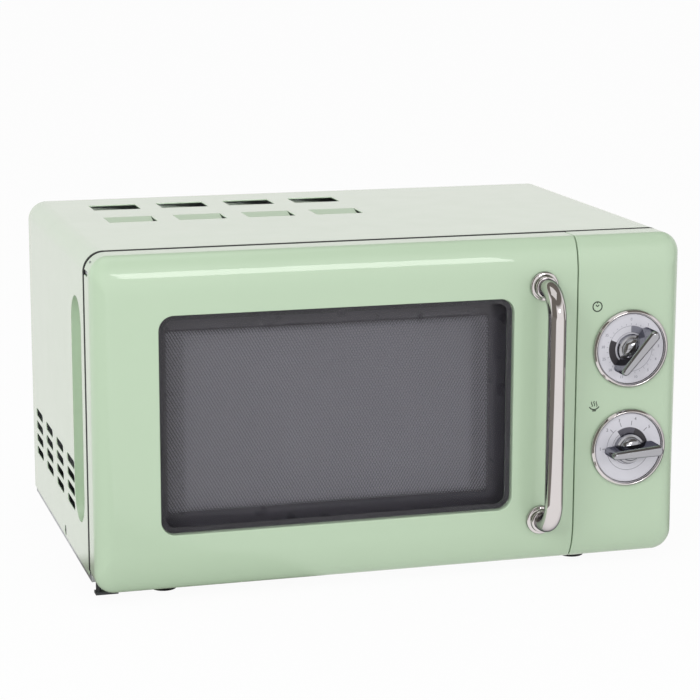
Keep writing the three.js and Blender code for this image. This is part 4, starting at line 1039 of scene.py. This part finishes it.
def seen_rays(tree):
    """One where a camera, mirror or glass ray looks, and nought for diffuse light"""
    path = tree.nodes.new("ShaderNodeLightPath")
    mirrored = math_node(tree, "MAXIMUM", path.outputs["Is Camera Ray"], path.outputs["Is Glossy Ray"])
    return math_node(tree, "MAXIMUM", mirrored, path.outputs["Is Transmission Ray"])


def studio_color(tree, direction):
    """White to the eye. In mirrors the walls left and right of the front and the ceiling are dark."""
    unit = tree.nodes.new("ShaderNodeVectorMath")
    unit.operation = "NORMALIZE"
    tree.links.new(direction, unit.inputs[0])
    split = tree.nodes.new("ShaderNodeSeparateXYZ")
    tree.links.new(unit.outputs[0], split.inputs[0])
    aside = math_node(tree, "ABSOLUTE", math_node(tree, "SUBTRACT", split.outputs["X"], MIRROR["middle"]))
    walls = math_node(tree, "MULTIPLY", spread(tree, aside, *MIRROR["aside"]),
                      spread(tree, split.outputs["Y"], *MIRROR["back"]))
    dark = math_node(tree, "MAXIMUM", walls, spread(tree, split.outputs["Z"], *MIRROR["ceiling"]))
    path = tree.nodes.new("ShaderNodeLightPath")
    mirrored = blended(tree, dark, MIRROR["light"], MIRROR["dark"])
    return blended(tree, path.outputs["Is Glossy Ray"], (1, 1, 1, 1), mirrored)


def world():
    scene_world = bpy.data.worlds.new("studio")
    scene_world.use_nodes = True
    tree = scene_world.node_tree
    tree.nodes.clear()
    light = tree.nodes.new("ShaderNodeBackground")
    light.inputs["Color"].default_value = (1, 1, 1, 1)
    light.inputs["Strength"].default_value = WORLD_LIGHT
    backdrop = tree.nodes.new("ShaderNodeBackground")
    direction = tree.nodes.new("ShaderNodeTexCoord").outputs["Generated"]
    tree.links.new(studio_color(tree, direction), backdrop.inputs["Color"])
    backdrop.inputs["Strength"].default_value = 1
    mix = tree.nodes.new("ShaderNodeMixShader")
    output = tree.nodes.new("ShaderNodeOutputWorld")
    tree.links.new(seen_rays(tree), mix.inputs["Fac"])
    tree.links.new(light.outputs[0], mix.inputs[1])
    tree.links.new(backdrop.outputs[0], mix.inputs[2])
    tree.links.new(mix.outputs[0], output.inputs["Surface"])
    bpy.context.scene.world = scene_world


def floor():
    size = FLOOR["reach"]
    corners = [(-size, -size, 0), (size, -size, 0), (size, size, 0), (-size, size, 0)]
    ground = mesh_piece(corners, [(0, 1, 2, 3)])
    ground.name = "floor"
    material = bpy.data.materials.new("floor_paper")
    material.use_nodes = True
    tree = material.node_tree
    shader = tree.nodes["Principled BSDF"]
    shader.inputs["Base Color"].default_value = FLOOR["color"]
    shader.inputs["Roughness"].default_value = FLOOR["roughness"]
    shader.inputs["Specular IOR Level"].default_value = 0
    glow = tree.nodes.new("ShaderNodeEmission")
    place = tree.nodes.new("ShaderNodeTexCoord").outputs["Object"]
    tree.links.new(studio_color(tree, place), glow.inputs["Color"])
    mix = tree.nodes.new("ShaderNodeMixShader")
    tree.links.new(math_node(tree, "MULTIPLY", seen_rays(tree), FLOOR["glow_share"]), mix.inputs["Fac"])
    tree.links.new(shader.outputs[0], mix.inputs[1])
    tree.links.new(glow.outputs[0], mix.inputs[2])
    tree.links.new(mix.outputs[0], tree.nodes["Material Output"].inputs["Surface"])
    ground.data.materials.append(material)


dress_cad_nodes()
door_frame()
control_panel()
cabinet()
window()
handle()
timer_print()
power_print()
knob("timer")
knob("power")
clock_pictogram()
bowl_pictogram()
feet()
tray()
screws()
camera()
studio()
world()
floor()
bpy.context.scene.view_settings.view_transform = "Standard"
